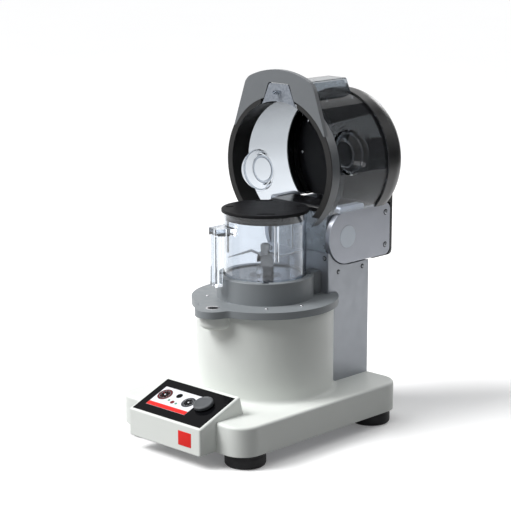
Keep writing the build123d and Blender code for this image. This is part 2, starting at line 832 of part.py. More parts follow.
def make_back_cap():
    """The black rear casting: round cap, neck and the block between the cheeks."""
    cap = bar_y(cap_radius, cap_front, cap_rear)
    cap = fillet(cap.edges().sort_by(Axis.Y)[-1], cap_edge_radius)
    cap -= bar_y(hood_radius + fit_gap, cap_front - 1, drum_rear)
    cap -= block(-reach, reach, 0, reach, 0, chord_z)
    core = block(-cheek_inner_x, cheek_inner_x, drum_rear, cheek_rear, cap_block_bottom, cap_neck_top)
    neck = block(-cheek_outer_x, cheek_outer_x, drum_rear, cap_block_rear, cheek_top + seat_gap, cap_neck_top)
    back = block(-cheek_outer_x, cheek_outer_x, cheek_rear + seat_gap, cap_block_rear, cap_block_bottom,
                 cap_neck_top)
    back = fillet(back.edges().filter_by(Axis.Y).group_by(Axis.Z)[0], cheek_corner_radius)
    cap += core + neck + back
    plate_back = drum_rear + cap_wall
    hollow = bar_y(cap_radius - cap_wall, cap_front, cap_rear - cap_wall)
    hollow = fillet(hollow.edges().sort_by(Axis.Y)[-1], cap_edge_radius - cap_wall)
    hollow &= bar_y(cap_radius - cap_wall - plate_ledge, drum_rear - 1, cap_rear)
    hollow -= block(-reach, reach, 0, reach, 0, chord_z + cap_wall)
    seat = bar_y(hood_inner, drum_rear - 1, plate_back)
    seat -= block(-reach, reach, 0, reach, 0, chord_z)
    cap = cap - hollow - seat
    hole = screw_hole(cheek_thickness + cheek_screw_bite)
    for y, z in cheek_screw_places:
        for side in (-1, 1):
            cap -= Pos(side * cheek_outer_x, y, z) * along_x(hole, side)
    return cap


def inner_plate_screw_places():
    """Seven screws round the edge of the inner plate."""
    radius = hood_inner - 12
    return [
        (radius * cos(radians(angle)), hood_axis + radius * sin(radians(angle)))
        for angle in (-20, 14, 48, 82, 116, 150, 184)
    ]


def make_inner_plate():
    """The black plate that closes the rear casting towards the mill."""
    plate = bar_y(hood_inner - fit_gap, drum_rear, drum_rear + cap_wall)
    plate -= block(-reach, reach, 0, reach, 0, chord_z + fit_gap)
    for x, z in inner_plate_screw_places():
        plate -= Pos(x, drum_rear, z) * along_y(screw_hole())
    return plate


def make_inner_plate_screws():
    """The bright screws of the inner plate."""
    return [
        Pos(x, drum_rear, z) * along_y(screw(length=cap_wall)) for x, z in inner_plate_screw_places()
    ]


# Vessel and what is on its floor

def make_vessel():
    """The clear vessel: skirt, raised floor, three ribs, four lugs and a moulded handle."""
    body = post(vessel_radius, well_floor, vessel_top)
    body -= post(vessel_bore, well_floor - 1, floor_under)
    body -= post(vessel_bore, floor_top, vessel_top + 1)
    body -= post(floor_hole_radius, floor_under - 1, floor_top + 1)
    rib_top = vessel_top - rib_top_drop
    rib = post(rib_radius, rib_top - rib_length, rib_top, vessel_bore + 1, 0)
    rib = rib & post(vessel_radius - 1, rib_top - rib_length, rib_top)
    for index in range(3):
        body += turned(rib, -30 + 120 * index)
    lug_z = well_floor + lug_rise
    lug = block(vessel_radius - 2, vessel_radius + lug_reach, -lug_width / 2, lug_width / 2, lug_z,
                lug_z + lug_height)
    for quarter in range(4):
        body += turned(lug, lug_angle + 90 * quarter)
    top = vessel_top - handle_top_drop
    inner = vessel_radius + handle_gap
    outer = inner + handle_thickness
    arm = make_face(Polyline(
        (vessel_radius - 2, -handle_root_width / 2), (outer, -handle_width / 2),
        (outer, handle_width / 2), (vessel_radius - 2, handle_root_width / 2), close=True,
    ))
    arm = Pos(0, 0, top - handle_arm_height) * extrude(arm, handle_arm_height)
    grip = block(inner, outer, -handle_width / 2, handle_width / 2, top - handle_length, top)
    handle = arm + grip
    handle = fillet(handle.edges().filter_by(Axis.Z).sort_by(Axis.X)[-2:], 4)
    handle -= block(inner - 1, inner + 5, -handle_width / 2 + 3.5, handle_width / 2 - 3.5,
                    top - handle_length + 4, top - handle_arm_height)
    body += turned(handle - post(vessel_bore + 0.5, well_floor, vessel_top), handle_angle)
    body -= turned(strip_space(), strip_angle)
    return body


def strip_space():
    """The shallow slot in the skirt, drawn at angle zero."""
    return block(vessel_radius - strip_depth, vessel_radius + 1, -strip_width / 2, strip_width / 2,
                 floor_top - strip_length, floor_top)


def make_coding_strip():
    """The black strip let into the skirt."""
    strip = strip_space() & post(vessel_radius, well_floor, vessel_top)
    return turned(strip, strip_angle)


def make_vessel_lid():
    """The black lid: flange on the rim and a hollow plug with a seal groove."""
    radius = vessel_radius + lid_overhang
    lid = post(radius, vessel_top, vessel_top + lid_flange_thickness)
    lid = fillet(lid.edges().sort_by(Axis.Z)[-1], 1.5)
    plug_radius = vessel_bore - slip_clearance
    plug = post(plug_radius, vessel_top - lid_plug_depth, vessel_top)
    plug -= post(plug_radius - lid_plug_wall, vessel_top - lid_plug_depth - 1, vessel_top - 2)
    lid += plug
    lid -= lid_seal_ring()
    recess = Pos(radius - 14, 0, vessel_top + lid_flange_thickness) * Box(12, 30, 1.6)
    for quarter in range(4):
        lid -= turned(recess, 45 + 90 * quarter)
    return lid


def lid_seal_ring():
    """The flat seal in the plug's groove, just clear of the vessel's wall."""
    level = vessel_top - lid_plug_depth * 0.6
    outer = vessel_bore - 0.1
    ring = post(outer, level - lid_seal_section / 2, level + lid_seal_section / 2)
    return ring - post(outer - lid_seal_width, level - lid_plug_depth, level + lid_plug_depth)


def make_locking_piece():
    """The black clamp below the vessel's floor: a cup over the boss with two tabs."""
    top = floor_under
    inner = boss_radius + moving_gap + 0.7
    cup = post(lock_piece_radius, top - lock_piece_height, top)
    cup -= post(inner, top - lock_piece_height - 1, top - lock_piece_top)
    tab = block(inner + 0.5, lock_piece_radius + lock_tab_reach, -lock_tab_width / 2, lock_tab_width / 2,
                top - lock_piece_height - lock_tab_drop, top - lock_piece_top)
    cup += turned(tab, -118)
    cup += turned(tab, 62)
    return cup - post(spigot_radius, well_floor, top + 1)


def make_knife_housing():
    """The knife's bearing housing: hexagon on the floor, neck in its hole, fluted spigot."""
    housing = hexagon(knife_hex_flats, floor_top, knife_hex_top)
    housing += post(floor_hole_radius - 0.1, floor_under, floor_top)
    spigot = post(spigot_radius, floor_under - spigot_length, floor_under)
    flute = post(1.1, floor_under - spigot_length - 1, floor_under - lock_piece_top - 0.5, spigot_radius, 0)
    for index in range(10):
        spigot -= turned(flute, 36 * index)
    housing += spigot
    return housing - post(knife_shaft_radius + running_clearance, 0, knife_hex_top + 1)


def make_knife_shaft():
    """The knife's shaft, with a hexagonal drive end below and a stud above."""
    end = floor_under - spigot_length
    shaft = post(knife_shaft_radius, end, nut_top + knife_stud_stand)
    shaft = chamfer(shaft.edges().sort_by(Axis.Z)[-1], 1)
    collar = post(knife_shaft_radius + 3, knife_hex_top + moving_gap, knife_hex_top + 2.0)
    return shaft + collar + hexagon(coupling_flats - 0.4, coupling_top() - coupling_depth + 1, end)


def make_lower_blades():
    """The lower blade: two wings folded down from a hub plate, with curved edges."""
    base = wing_top - wing_height
    inner_x = blade_hub_radius + 1
    run = wing_spread - inner_x
    profile = [
        (0, wing_top - wing_thickness), (inner_x - 1, wing_top - wing_thickness),
        (inner_x + run - 1, base), (inner_x + run + 1, base),
        (inner_x, wing_top), (0, wing_top),
    ]
    face = make_face(Plane.XZ * Polyline(*profile, close=True))
    wing = extrude(face, wing_width / 2, both=True)
    sweep = Pos(wing_spread - 4, 0, base) * Cylinder(wing_width / 2, 3 * wing_height)
    wing = wing & (sweep + post(blade_hub_radius + 1, base - 1, wing_top + 1))
    blades = wing + turned(wing, 180) + post(blade_hub_radius, wing_top - wing_thickness, wing_top)
    return turned(blades - post(knife_shaft_radius, base - 9, wing_top + 9), blade_angle - lower_blade_lag)


def blade_arm(knee_rise, tip_rise):
    """One arm of the upper blade along +X, bent at its knee and ground to a taper."""
    level = blade_level - blade_thickness
    root = blade_hub_radius + 3
    lower = [(0, level), (root, level), (blade_knee, level + knee_rise), (blade_span, level + tip_rise)]
    upper = [(x, z + blade_thickness) for x, z in reversed(lower)]
    upper[0] = (blade_span, level + tip_rise + blade_thickness * 0.4)
    face = make_face(Plane.XZ * Polyline(*(lower + upper), close=True))
    arm = extrude(face, blade_root_width, both=True)
    plan = make_face(Polyline(
        (0, -blade_root_width / 2), (blade_knee, -blade_root_width / 2), (blade_span, -blade_tip_width / 2),
        (blade_span, blade_tip_width / 2), (blade_knee, blade_root_width / 2 - 2), (0, blade_root_width / 2),
        close=True,
    ))
    return arm & (Pos(0, 0, level - 30) * extrude(plan, 60))


def make_upper_blades():
    """The upper blade: one arm bent up then down, the other down then up."""
    arms = turned(blade_arm(-blade_knee_rise, blade_tip_rise), blade_angle)
    arms += turned(blade_arm(blade_knee_rise, -blade_tip_rise), blade_angle + 180)
    arms += post(blade_hub_radius, blade_level - blade_thickness, blade_level)
    return arms - post(knife_shaft_radius, blade_level - 9, blade_level + 9)


def make_knife_spacer():
    """The grooved sleeve between the upper blade and the nut."""
    sleeve = post(knife_spacer_radius, blade_level, spacer_top)
    groove = post(knife_spacer_radius + 1, blade_level + 3, blade_level + 5)
    groove -= post(knife_spacer_radius - 1, blade_level + 2, blade_level + 6)
    return sleeve - groove - post(knife_shaft_radius, blade_level - 1, spacer_top + 1)


def make_knife_nut():
    """The nut on the knife's stud."""
    nut = hexagon(knife_nut_flats, spacer_top, nut_top)
    return nut - post(knife_shaft_radius, spacer_top - 1, nut_top + 1)


# Drive train

def coupling_top():
    """The level of the coupling's mouth, just below the knife's spigot."""
    return floor_under - spigot_length - 1.5


def make_drive_coupling():
    """The socket on the motor shaft that drives the knife."""
    top = coupling_top()
    body = post(coupling_radius, top - coupling_height, top)
    body -= hexagon(coupling_flats, top - coupling_depth, top + 1)
    return body - post(shaft_radius, top - coupling_height - 1, top - coupling_height + 3)


def make_drive_shaft():
    """The motor shaft, from the lower bearing to the coupling."""
    top = coupling_top() - coupling_height + 3
    return post(shaft_radius, motor_bottom - fan_height - 4, top)


def make_shaft_seal():
    """The lip seal below the boss."""
    top = well_floor - 4
    seal = post(boss_bore, top - shaft_seal_height, top)
    return seal - post(shaft_radius + running_clearance, 0, top + 1)


def make_bearings():
    """The two ball bearings of the motor shaft."""
    upper = tower_top - bearing_housing_depth + bearing_width
    lower = motor_bottom + motor_wall + bearing_width
    ring = post(bearing_outer_radius, -bearing_width, 0)
    ring -= post(shaft_radius + running_clearance, -reach, reach)
    return [Pos(0, 0, upper) * ring, Pos(0, 0, lower) * ring]


def make_motor_can():
    """The motor's steel can, with a bearing cup in its floor."""
    can = post(motor_radius, motor_bottom, motor_top)
    can -= post(motor_radius - motor_wall, motor_bottom + motor_wall, motor_top + 1)
    cup = post(bearing_outer_radius + 3, motor_bottom, motor_bottom + motor_wall + bearing_width)
    cup -= post(bearing_outer_radius, motor_bottom + motor_wall, motor_top)
    can += cup
    window = block(motor_radius - 8, motor_radius + 2, -9, 9, motor_bottom + 8, motor_bottom + 20)
    for index in range(6):
        can -= turned(window, 60 * index)
    return can - post(shaft_radius + moving_gap, motor_bottom - 1, motor_bottom + 9)


def make_motor_stator():
    """The laminated stator with its six poles."""
    outer = motor_radius - motor_wall
    middle = (motor_bottom + motor_top) / 2
    stator = post(outer, middle - armature_length / 2, middle + armature_length / 2)
    stator -= post(outer - stator_thickness, 0, reach)
    pole = block(armature_radius + 1, outer - 2, -7, 7, middle - armature_length / 2,
                 middle + armature_length / 2)
    for index in range(6):
        stator += turned(pole, 30 + 60 * index)
    return stator


def make_motor_armature():
    """The armature on the shaft, with its slots."""
    middle = (motor_bottom + motor_top) / 2
    armature = post(armature_radius, middle - armature_length / 2, middle + armature_length / 2)
    slot = block(armature_radius - 7, armature_radius + 1, -1.5, 1.5, 0, reach)
    for index in range(12):
        armature -= turned(slot, 30 * index)
    return armature - post(shaft_radius, 0, reach)


def make_motor_bracket():
    """The plate that hangs the motor from the seat by four posts."""
    plate = post(bracket_radius, motor_top, motor_top + bracket_thickness)
    plate -= post(bearing_outer_radius + 10, motor_top - 1, tower_top)
    stand = post(bracket_post_radius, motor_top + bracket_thickness, tower_top, bracket_post_circle, 0)
    for quarter in range(4):
        plate += turned(stand, 45 + 90 * quarter)
    return plate


def make_cooling_fan():
    """The fan below the motor: hub, back disc and straight blades."""
    top = motor_bottom - 2
    fan = post(12, top - fan_height, top) + post(fan_radius, top - 2, top)
    blade = block(10, fan_radius, -1, 1, top - fan_height, top - 1)
    for index in range(fan_blade_count):
        fan += turned(blade, 360 / fan_blade_count * index)
    return fan - post(shaft_radius, 0, reach)


# Console

slope_angle = degrees(atan2(console_rear_height - console_front_height, console_front - console_rear))
panel_plane = Plane(
    origin=(console_offset, -console_front, foot_height + console_front_height),
    x_dir=(1, 0, 0),
    z_dir=(0, -sin(radians(slope_angle)), cos(radians(slope_angle))),
)


def on_panel(shape, x, along, height=0.0):
    """The shape placed on the sloping face, at a distance up from its front edge."""
    return panel_plane * (Pos(x, along, height) * shape)


def slope_box(width, length, z0, z1):
    """A box whose length runs up the slope from the origin."""
    return Pos(0, length / 2, (z0 + z1) / 2) * Box(width, length, z1 - z0)


def make_console():
    """The white console shell that wraps over the front edge of the slab."""
    low = foot_height
    front_top = foot_height + console_front_height
    rear_top = foot_height + console_rear_height
    front = -console_front
    rear = -console_rear
    slab_face = -base_front - seat_gap
    wall = console_wall
    x0 = console_offset - console_width / 2
    x1 = console_offset + console_width / 2
    outline = [(front, low), (front, front_top), (rear, rear_top), (rear + 8, slab_top),
               (slab_face, slab_top), (slab_face, low)]
    shell = side_profile(outline, x0, x1)
    shell = fillet(shell.edges().filter_by(Axis.X).sort_by(Axis.Y)[:2], 2)
    shell = fillet(shell.edges().filter_by(Axis.Z).sort_by(Axis.Y)[:2], 4)
    core = [(front + wall, low - 1), (front + wall, front_top - wall), (rear - 1, rear_top - wall - 1.5),
            (rear + 8 - wall, slab_top - 1), (slab_face + 1, slab_top - 1), (slab_face + 1, low - 1)]
    shell -= side_profile(core, x0 + wall, x1 - wall)
    margin = panel_front_margin
    shell -= on_panel(slope_box(panel_width + 2 * seat_gap, panel_length + 2 * seat_gap,
                                -panel_thickness, 9), 0, margin - seat_gap)
    lip = 5.0
    shell -= on_panel(slope_box(panel_width - 2 * lip, panel_length - 2 * lip, -9, 1), 0, margin + lip)
    tile_x = console_offset + tile_offset
    tile_z = foot_height + tile_bottom_margin
    shell -= block(tile_x - tile_width / 2 - 0.1, tile_x + tile_width / 2 + 0.1, front - 1,
                   front + tile_thickness - 0.3, tile_z - 0.1, tile_z + tile_height + 0.1)
    return shell


def make_console_floor():
    """The plate that closes the console from below."""
    half = console_width / 2 - console_wall - seat_gap
    return block(console_offset - half, console_offset + half, -console_front + console_wall + seat_gap,
                 -base_front - seat_gap, foot_height, foot_height + 2)


def make_front_tile():
    """The plain red tile let into the console's front."""
    tile_x = console_offset + tile_offset
    tile_z = foot_height + tile_bottom_margin
    front = -console_front
    return block(tile_x - tile_width / 2, tile_x + tile_width / 2, front - 0.3,
                 front + tile_thickness - 0.3, tile_z, tile_z + tile_height)


def make_touch_panel():
    """The dark glass of the touch panel, pierced for the knob's spindle."""
    glass = on_panel(slope_box(panel_width, panel_length, -panel_thickness, 0), 0, panel_front_margin)
    hole = Cylinder(spindle_radius + 2, 9)
    return glass - on_panel(hole, knob_offset, panel_front_margin + knob_front_margin)


def make_display_module():
    """The display below the glass."""
    return on_panel(slope_box(screen_width, screen_length, -panel_thickness - screen_depth, -panel_thickness),
                    screen_offset, panel_front_margin + screen_front_margin)


def make_control_board():
    """The circuit board below the display and the encoder, with two components."""
    top = -panel_thickness - encoder_depth
    place = panel_front_margin + (panel_length - board_length) / 2
    board = slope_box(board_width, board_length, top - board_thickness, top)
    board += Pos(-30, 1, 0) * slope_box(24, 13, top - board_thickness - 3, top - board_thickness)
    board += Pos(screen_offset, screen_front_margin, 0) * slope_box(
        20, 20, top - 0.5, -panel_thickness - screen_depth)
    return on_panel(board, 0, place)


def make_encoder_body():
    """The encoder's fixed body, between the board and the glass."""
    body = Pos(0, 0, -panel_thickness - encoder_depth / 2) * Box(encoder_width, encoder_width, encoder_depth)
    body += Pos(0, 0, -panel_thickness / 2) * Cylinder(spindle_radius + 1.9, panel_thickness)
    body -= Cylinder(spindle_radius + running_clearance, 2 * (panel_thickness + encoder_depth - 2))
    return on_panel(body, knob_offset, panel_front_margin + knob_front_margin)


def make_encoder_spindle():
    """The turning spindle inside the knob."""
    bottom = -panel_thickness - encoder_depth + 2 + running_clearance
    top = knob_height - 3
    spindle = Pos(0, 0, (bottom + top) / 2) * Cylinder(spindle_radius, top - bottom)
    return on_panel(spindle, knob_offset, panel_front_margin + knob_front_margin)


def make_selector_knob():
    """The flat turn-and-press knob, with a rounded rim and a bore for the spindle."""
    lift = knob_travel + 0.6
    knob = Pos(0, 0, lift + (knob_height - lift) / 2) * Cylinder(knob_radius, knob_height - lift)
    knob = fillet(knob.edges().group_by(Axis.Z)[-1], 1.6)
    bore_top = knob_height - 3 + knob_travel + 0.6
    knob -= Pos(0, 0, bore_top / 2) * Cylinder(spindle_radius + running_clearance, bore_top)
    return on_panel(knob, knob_offset, panel_front_margin + knob_front_margin)


# Mains side

def make_power_inlet():
    """The mains inlet in the rear wall, with its three pins and the window for the switch."""
    rear = base_rear
    half_w = inlet_width / 2 - seat_gap
    half_h = inlet_height / 2 - seat_gap
    body = block(inlet_offset - half_w, inlet_offset + half_w, rear - inlet_depth, rear,
                 inlet_z - half_h, inlet_z + half_h)
    body += block(inlet_offset - half_w - 4, inlet_offset + half_w + 4, rear, rear + inlet_flange,
                  inlet_z - half_h - 3, inlet_z + half_h + 3)
    socket_x = inlet_offset + 9
    body -= block(socket_x - 12, socket_x + 12, rear - 16, rear + 9, inlet_z - 8, inlet_z + 8)
    for dx, dz in ((-7, -2), (0, 2), (7, -2)):
        body += block(socket_x + dx - 1, socket_x + dx + 1, rear - 17, rear - 1,
                      inlet_z + dz - 2, inlet_z + dz + 2)
    x = rocker_x()
    wide = rocker_width / 2 + seat_gap
    high = rocker_height / 2 + moving_gap
    body -= block(x - wide, x + wide, rear - rocker_depth - 4, rear + 9, inlet_z - high, inlet_z + high)
    return body


def rocker_x():
    """The X of the mains switch, beside the socket."""
    return inlet_offset - inlet_width / 2 + rocker_width / 2 + 5


def make_power_switch():
    """The rocker of the mains switch, tipped to its off side."""
    x = rocker_x()
    axis_y = base_rear - 4
    half = rocker_height / 2
    outline = [
        (axis_y - 4, inlet_z - 4), (axis_y + 4.5, inlet_z - half), (axis_y + 6, inlet_z),
        (axis_y + 4.5, inlet_z + half), (axis_y - 4, inlet_z + 4),
    ]
    rocker = side_profile(outline, x - rocker_width / 2, x + rocker_width / 2)
    tip = Pos(x, axis_y, inlet_z) * Rot(-rocker_throw / 2, 0, 0) * Pos(-x, -axis_y, -inlet_z)
    return tip * rocker


def make_power_supply():
    """The power supply block on the base plate."""
    top_of_plate = foot_height + base_plate_thickness
    right = supply_left + supply_width
    front = base_rear - supply_rear_inset - supply_length
    return block(supply_left, right, front, front + supply_length, top_of_plate,
                 top_of_plate + supply_height)


parts = {
    "housing": make_housing(),
    "base_plate": make_base_plate(),
    "feet": make_feet(),
    "foot_screws": make_foot_screws(),
    "vessel_seat": make_vessel_seat(),
    "seat_screws": make_seat_screws(),
    "lock_ring": make_lock_ring(),
    "lock_module": make_lock_module(),
    "column": make_column(),
    "column_rear_cover": make_column_rear_cover(),
    "column_rear_ledges": make_rear_ledges(),
    "column_screws": make_column_screws(),
    "hinge_block": make_hinge_block(),
    "hinge_block_cap": make_hinge_block_cap(),
    "hinge_pins": make_hinge_pins(),
    "cheek_left": make_cheek(-1),
    "cheek_right": make_cheek(1),
    "pin_caps": make_pin_caps(),
    "cheek_screws": make_cheek_screws(),
    "hood_drum": make_hood_drum(),
    "front_ring": make_front_ring(),
    "ring_seal": make_ring_seal(),
    "drum_rails": make_drum_rails(),
    "back_cap": make_back_cap(),
    "inner_plate": make_inner_plate(),
    "inner_plate_screws": make_inner_plate_screws(),
    "vessel": make_vessel(),
    "coding_strip": make_coding_strip(),
    "vessel_lid": make_vessel_lid(),
    "lid_seal": lid_seal_ring(),
    "locking_piece": make_locking_piece(),
    "knife_housing": make_knife_housing(),
    "knife_shaft": make_knife_shaft(),
    "lower_blades": make_lower_blades(),
    "upper_blades": make_upper_blades(),
    "knife_spacer": make_knife_spacer(),
    "knife_nut": make_knife_nut(),
    "drive_coupling": make_drive_coupling(),
    "drive_shaft": make_drive_shaft(),
    "shaft_seal": make_shaft_seal(),
    "bearings": make_bearings(),
    "motor_can": make_motor_can(),
    "motor_stator": make_motor_stator(),
    "motor_armature": make_motor_armature(),
    "motor_bracket": make_motor_bracket(),
    "cooling_fan": make_cooling_fan(),
    "console": make_console(),
    "console_floor": make_console_floor(),
    "front_tile": make_front_tile(),
    "touch_panel": make_touch_panel(),
    "display_module": make_display_module(),
    "control_board": make_control_board(),
    "encoder_body": make_encoder_body(),
    "encoder_spindle": make_encoder_spindle(),
    "selector_knob": make_selector_knob(),
    "power_inlet": make_power_inlet(),
    "power_switch": make_power_switch(),
    "power_supply": make_power_supply(),
}

os.makedirs("parts", exist_ok=True)
for name, shape in parts.items():
    if isinstance(shape, list):
        shape = Compound(children=shape)
    export_step(shape, f"parts/{name}.step")
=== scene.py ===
"""Bench-top knife mill with a clear hinged hood: its looks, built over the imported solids."""
import logging
from dataclasses import dataclass
from enum import Enum
from math import cos, radians, sin, sqrt
from typing import Callable, Sequence

import bmesh
import bpy
from mathutils import Matrix, Vector


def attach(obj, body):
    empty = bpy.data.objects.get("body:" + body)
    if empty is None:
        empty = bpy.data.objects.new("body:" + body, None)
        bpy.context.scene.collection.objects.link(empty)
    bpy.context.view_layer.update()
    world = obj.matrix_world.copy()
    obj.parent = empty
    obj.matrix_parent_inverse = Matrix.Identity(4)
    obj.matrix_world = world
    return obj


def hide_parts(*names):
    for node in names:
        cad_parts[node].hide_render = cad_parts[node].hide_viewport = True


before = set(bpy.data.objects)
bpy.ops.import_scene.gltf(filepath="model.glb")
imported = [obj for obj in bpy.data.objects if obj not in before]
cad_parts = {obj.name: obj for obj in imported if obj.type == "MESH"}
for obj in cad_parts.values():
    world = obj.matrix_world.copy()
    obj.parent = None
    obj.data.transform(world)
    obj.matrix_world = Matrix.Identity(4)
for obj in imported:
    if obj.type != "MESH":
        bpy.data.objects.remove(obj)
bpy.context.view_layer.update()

logging.basicConfig(level=logging.INFO, format="%(levelname)s %(message)s")
log = logging.getLogger("knife_mill")

MM = 0.001

# Distances under which points are welded: in a form's millimetres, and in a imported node's metres
WELD = 0.0005
NODE_WELD = 0.00001

# The angle above which an edge stays sharp
SHARP = radians(35.0)

# The recess of a screw head, as shares of the head's radius and height
RECESS_RADIUS = 0.5
RECESS_FLOOR = 0.35

Colour = tuple[float, float, float]
Point = tuple[float, float, float]
Pair = tuple[float, float]
Spot = tuple[float, float, float]
Socket = bpy.types.NodeSocket


# Materials


class Shader:
    """A node material under construction, with short ways to add and join nodes."""

    def __init__(self, name: str) -> None:
        """Start an empty material with a Principled shader on its output.

        Args:
            name: the material's name.
        """
        self.material = bpy.data.materials.new(name)
        self.material.use_nodes = True
        self.tree = self.material.node_tree
        self.tree.nodes.clear()
        self.output = self.tree.nodes.new("ShaderNodeOutputMaterial")
        self.surface = self.tree.nodes.new("ShaderNodeBsdfPrincipled")
        self.tree.links.new(self.surface.outputs["BSDF"], self.output.inputs["Surface"])
        coordinates = self.tree.nodes.new("ShaderNodeTexCoord")
        self.place = coordinates.outputs["Object"]

    def set(self, **values: float | Colour) -> None:
        """Set the shader's own sockets.

        Args:
            values: socket names, with underscores for spaces, and what they are set to.
        """
        for key, value in values.items():
            socket = self.surface.inputs[key.replace("_", " ")]
            socket.default_value = (*value, 1.0) if isinstance(value, tuple) else value

    def node(self, kind: str, **settings: object) -> bpy.types.Node:
        """Add a node.

        Args:
            kind: the node's type.
            settings: its properties.

        Returns:
            The node.
        """
        node = self.tree.nodes.new(kind)
        for key, value in settings.items():
            setattr(node, key, value)
        return node

    def join(self, source: Socket, target: Socket) -> None:
        """Link one socket to another.

        Args:
            source: the output socket.
            target: the input socket.
        """
        self.tree.links.new(source, target)

    def stretched(self, scale: Point, shift: Point = (0.0, 0.0, 0.0)) -> Socket:
        """Object coordinates, scaled and moved.

        Args:
            scale: factors along each axis.
            shift: the move in metres along each axis.

        Returns:
            The vector socket.
        """
        mapping = self.node("ShaderNodeMapping")
        mapping.inputs["Scale"].default_value = scale
        mapping.inputs["Location"].default_value = shift
        self.join(self.place, mapping.inputs["Vector"])
        return mapping.outputs["Vector"]

    def noise(self, size_mm: float, detail: float = 3.0, vector: Socket | None = None) -> Socket:
        """A noise value whose features are about the given size.

        Args:
            size_mm: the feature size in millimetres.
            detail: the number of finer layers.
            vector: coordinates, or None for plain Object coordinates.

        Returns:
            The value socket.
        """
        node = self.node("ShaderNodeTexNoise")
        node.inputs["Scale"].default_value = 1.0 / (size_mm * MM)
        node.inputs["Detail"].default_value = detail
        self.join(vector or self.place, node.inputs["Vector"])
        return node.outputs["Fac"]

    def ramp(self, value: Socket, start: float, end: float, low: float = 0.0, high: float = 1.0) -> Socket:
        """A value that runs from one level to another.

        Args:
            value: what drives it.
            start: the value at the low level.
            end: the value at the high level.
            low: the level at the start and below.
            high: the level at the end and above.

        Returns:
            The value socket.
        """
        node = self.node("ShaderNodeMapRange")
        for name, setting in (("From Min", start), ("From Max", end), ("To Min", low), ("To Max", high)):
            node.inputs[name].default_value = setting
        self.join(value, node.inputs["Value"])
        return node.outputs["Result"]

    def between(self, noise: Socket, low: float, high: float) -> Socket:
        """A noise value spread over a range.

        Args:
            noise: the value, mostly from 0.3 to 0.7.
            low: the lowest result.
            high: the highest result.

        Returns:
            The value socket.
        """
        return self.ramp(noise, 0.3, 0.7, low, high)

    def mix(self, factor: Socket, first: Colour | Socket, second: Colour | Socket) -> Socket:
        """A colour between two.

        Args:
            factor: 0 for the first colour, 1 for the second.
            first: a colour or a colour socket.
            second: a colour or a colour socket.

        Returns:
            The colour socket.
        """
        node = self.node("ShaderNodeMix", data_type="RGBA")
        self.join(factor, node.inputs["Factor"])
        for socket, colour in ((node.inputs[6], first), (node.inputs[7], second)):
            if isinstance(colour, tuple):
                socket.default_value = (*colour, 1.0)
            else:
                self.join(colour, socket)
        return node.outputs[2]

    def bump(self, height: Socket, strength: float, distance_mm: float, edge_mm: float = 0.0) -> None:
        """Dent the surface by a height value, with edges that catch the light.

        Args:
            height: the value that dents the surface.
            strength: how much of the dents shows.
            distance_mm: the depth of the dents.
            edge_mm: the radius of the softened edges, or 0 for none.
        """
        node = self.node("ShaderNodeBump")
        node.inputs["Strength"].default_value = strength
        node.inputs["Distance"].default_value = distance_mm * MM
        self.join(height, node.inputs["Height"])
        if edge_mm > 0.0:
            soft = self.node("ShaderNodeBevel", samples=6)
            soft.inputs["Radius"].default_value = edge_mm * MM
            self.join(soft.outputs["Normal"], node.inputs["Normal"])
        self.join(node.outputs["Normal"], self.surface.inputs["Normal"])


def shade(colour: Colour, factor: float) -> Colour:
    """A colour made lighter or darker.

    Args:
        colour: the colour to start from.
        factor: above 1 for lighter, below 1 for darker.

    Returns:
        The new colour.
    """
    return tuple(min(1.0, channel * factor) for channel in colour)


@dataclass(frozen=True)
class Moulded:
    """A moulded or painted surface: soft mottling, fine grain and uneven gloss."""

    name: str
    colour: Colour
    roughness: float = 0.4
    spread: float = 0.06
    mottle: float = 0.04
    grain_mm: float = 0.7
    grain: float = 0.12
    metallic: float = 0.0
    edge_mm: float = 0.7
    gloss: float = 0.5
    cloud_mm: float = 60.0
    sheen_mm: float = 14.0
    grain_depth_mm: float = 0.05

    def build(self) -> bpy.types.Material:
        """Make the material.

        Returns:
            The material.
        """
        shader = Shader(self.name)
        shader.set(Metallic=self.metallic, Specular_IOR_Level=self.gloss)
        cloud = shader.noise(self.cloud_mm, 2.0)
        tone = shader.mix(cloud, shade(self.colour, 1 - self.mottle), shade(self.colour, 1 + self.mottle))
        shader.join(tone, shader.surface.inputs["Base Color"])
        sheen = shader.noise(self.sheen_mm, 4.0)
        shader.join(shader.between(sheen, self.roughness - self.spread, self.roughness + self.spread),
                    shader.surface.inputs["Roughness"])
        shader.bump(shader.noise(self.grain_mm, 2.0), self.grain, self.grain_depth_mm, self.edge_mm)
        return shader.material


@dataclass(frozen=True)
class Clear:
    """Clear moulded plastic with a faint tint and a slightly uneven gloss."""

    name: str
    tint: Colour
    roughness: float
    ior: float
    gloss: float = 0.3
    drift: float = 0.07
    streak_mm: float = 55.0
    streak_along: Point = (1.0, 0.3, 1.6)
    haze_mm: float = 30.0
    wave_mm: float = 40.0

    def tone(self, shader: Shader) -> Socket:
        """The tint, with long faint streaks.

        Args:
            shader: the material under construction.

        Returns:
            The colour socket.
        """
        streaks = shader.noise(self.streak_mm, 1.0, shader.stretched(self.streak_along))
        return shader.mix(streaks, shade(self.tint, 1 - self.drift), shade(self.tint, 1 + self.drift))

    def build(self) -> bpy.types.Material:
        """Make the material.

        Returns:
            The material.
        """
        shader = Shader(self.name)
        shader.set(Transmission_Weight=1.0, IOR=self.ior, Specular_IOR_Level=self.gloss)
        shader.join(self.tone(shader), shader.surface.inputs["Base Color"])
        haze = shader.noise(self.haze_mm, 1.0)
        shader.join(shader.between(haze, self.roughness * 0.5, self.roughness * 1.6),
                    shader.surface.inputs["Roughness"])
        shader.bump(shader.noise(self.wave_mm, 0.0), 0.03, 0.1)
        return shader.material


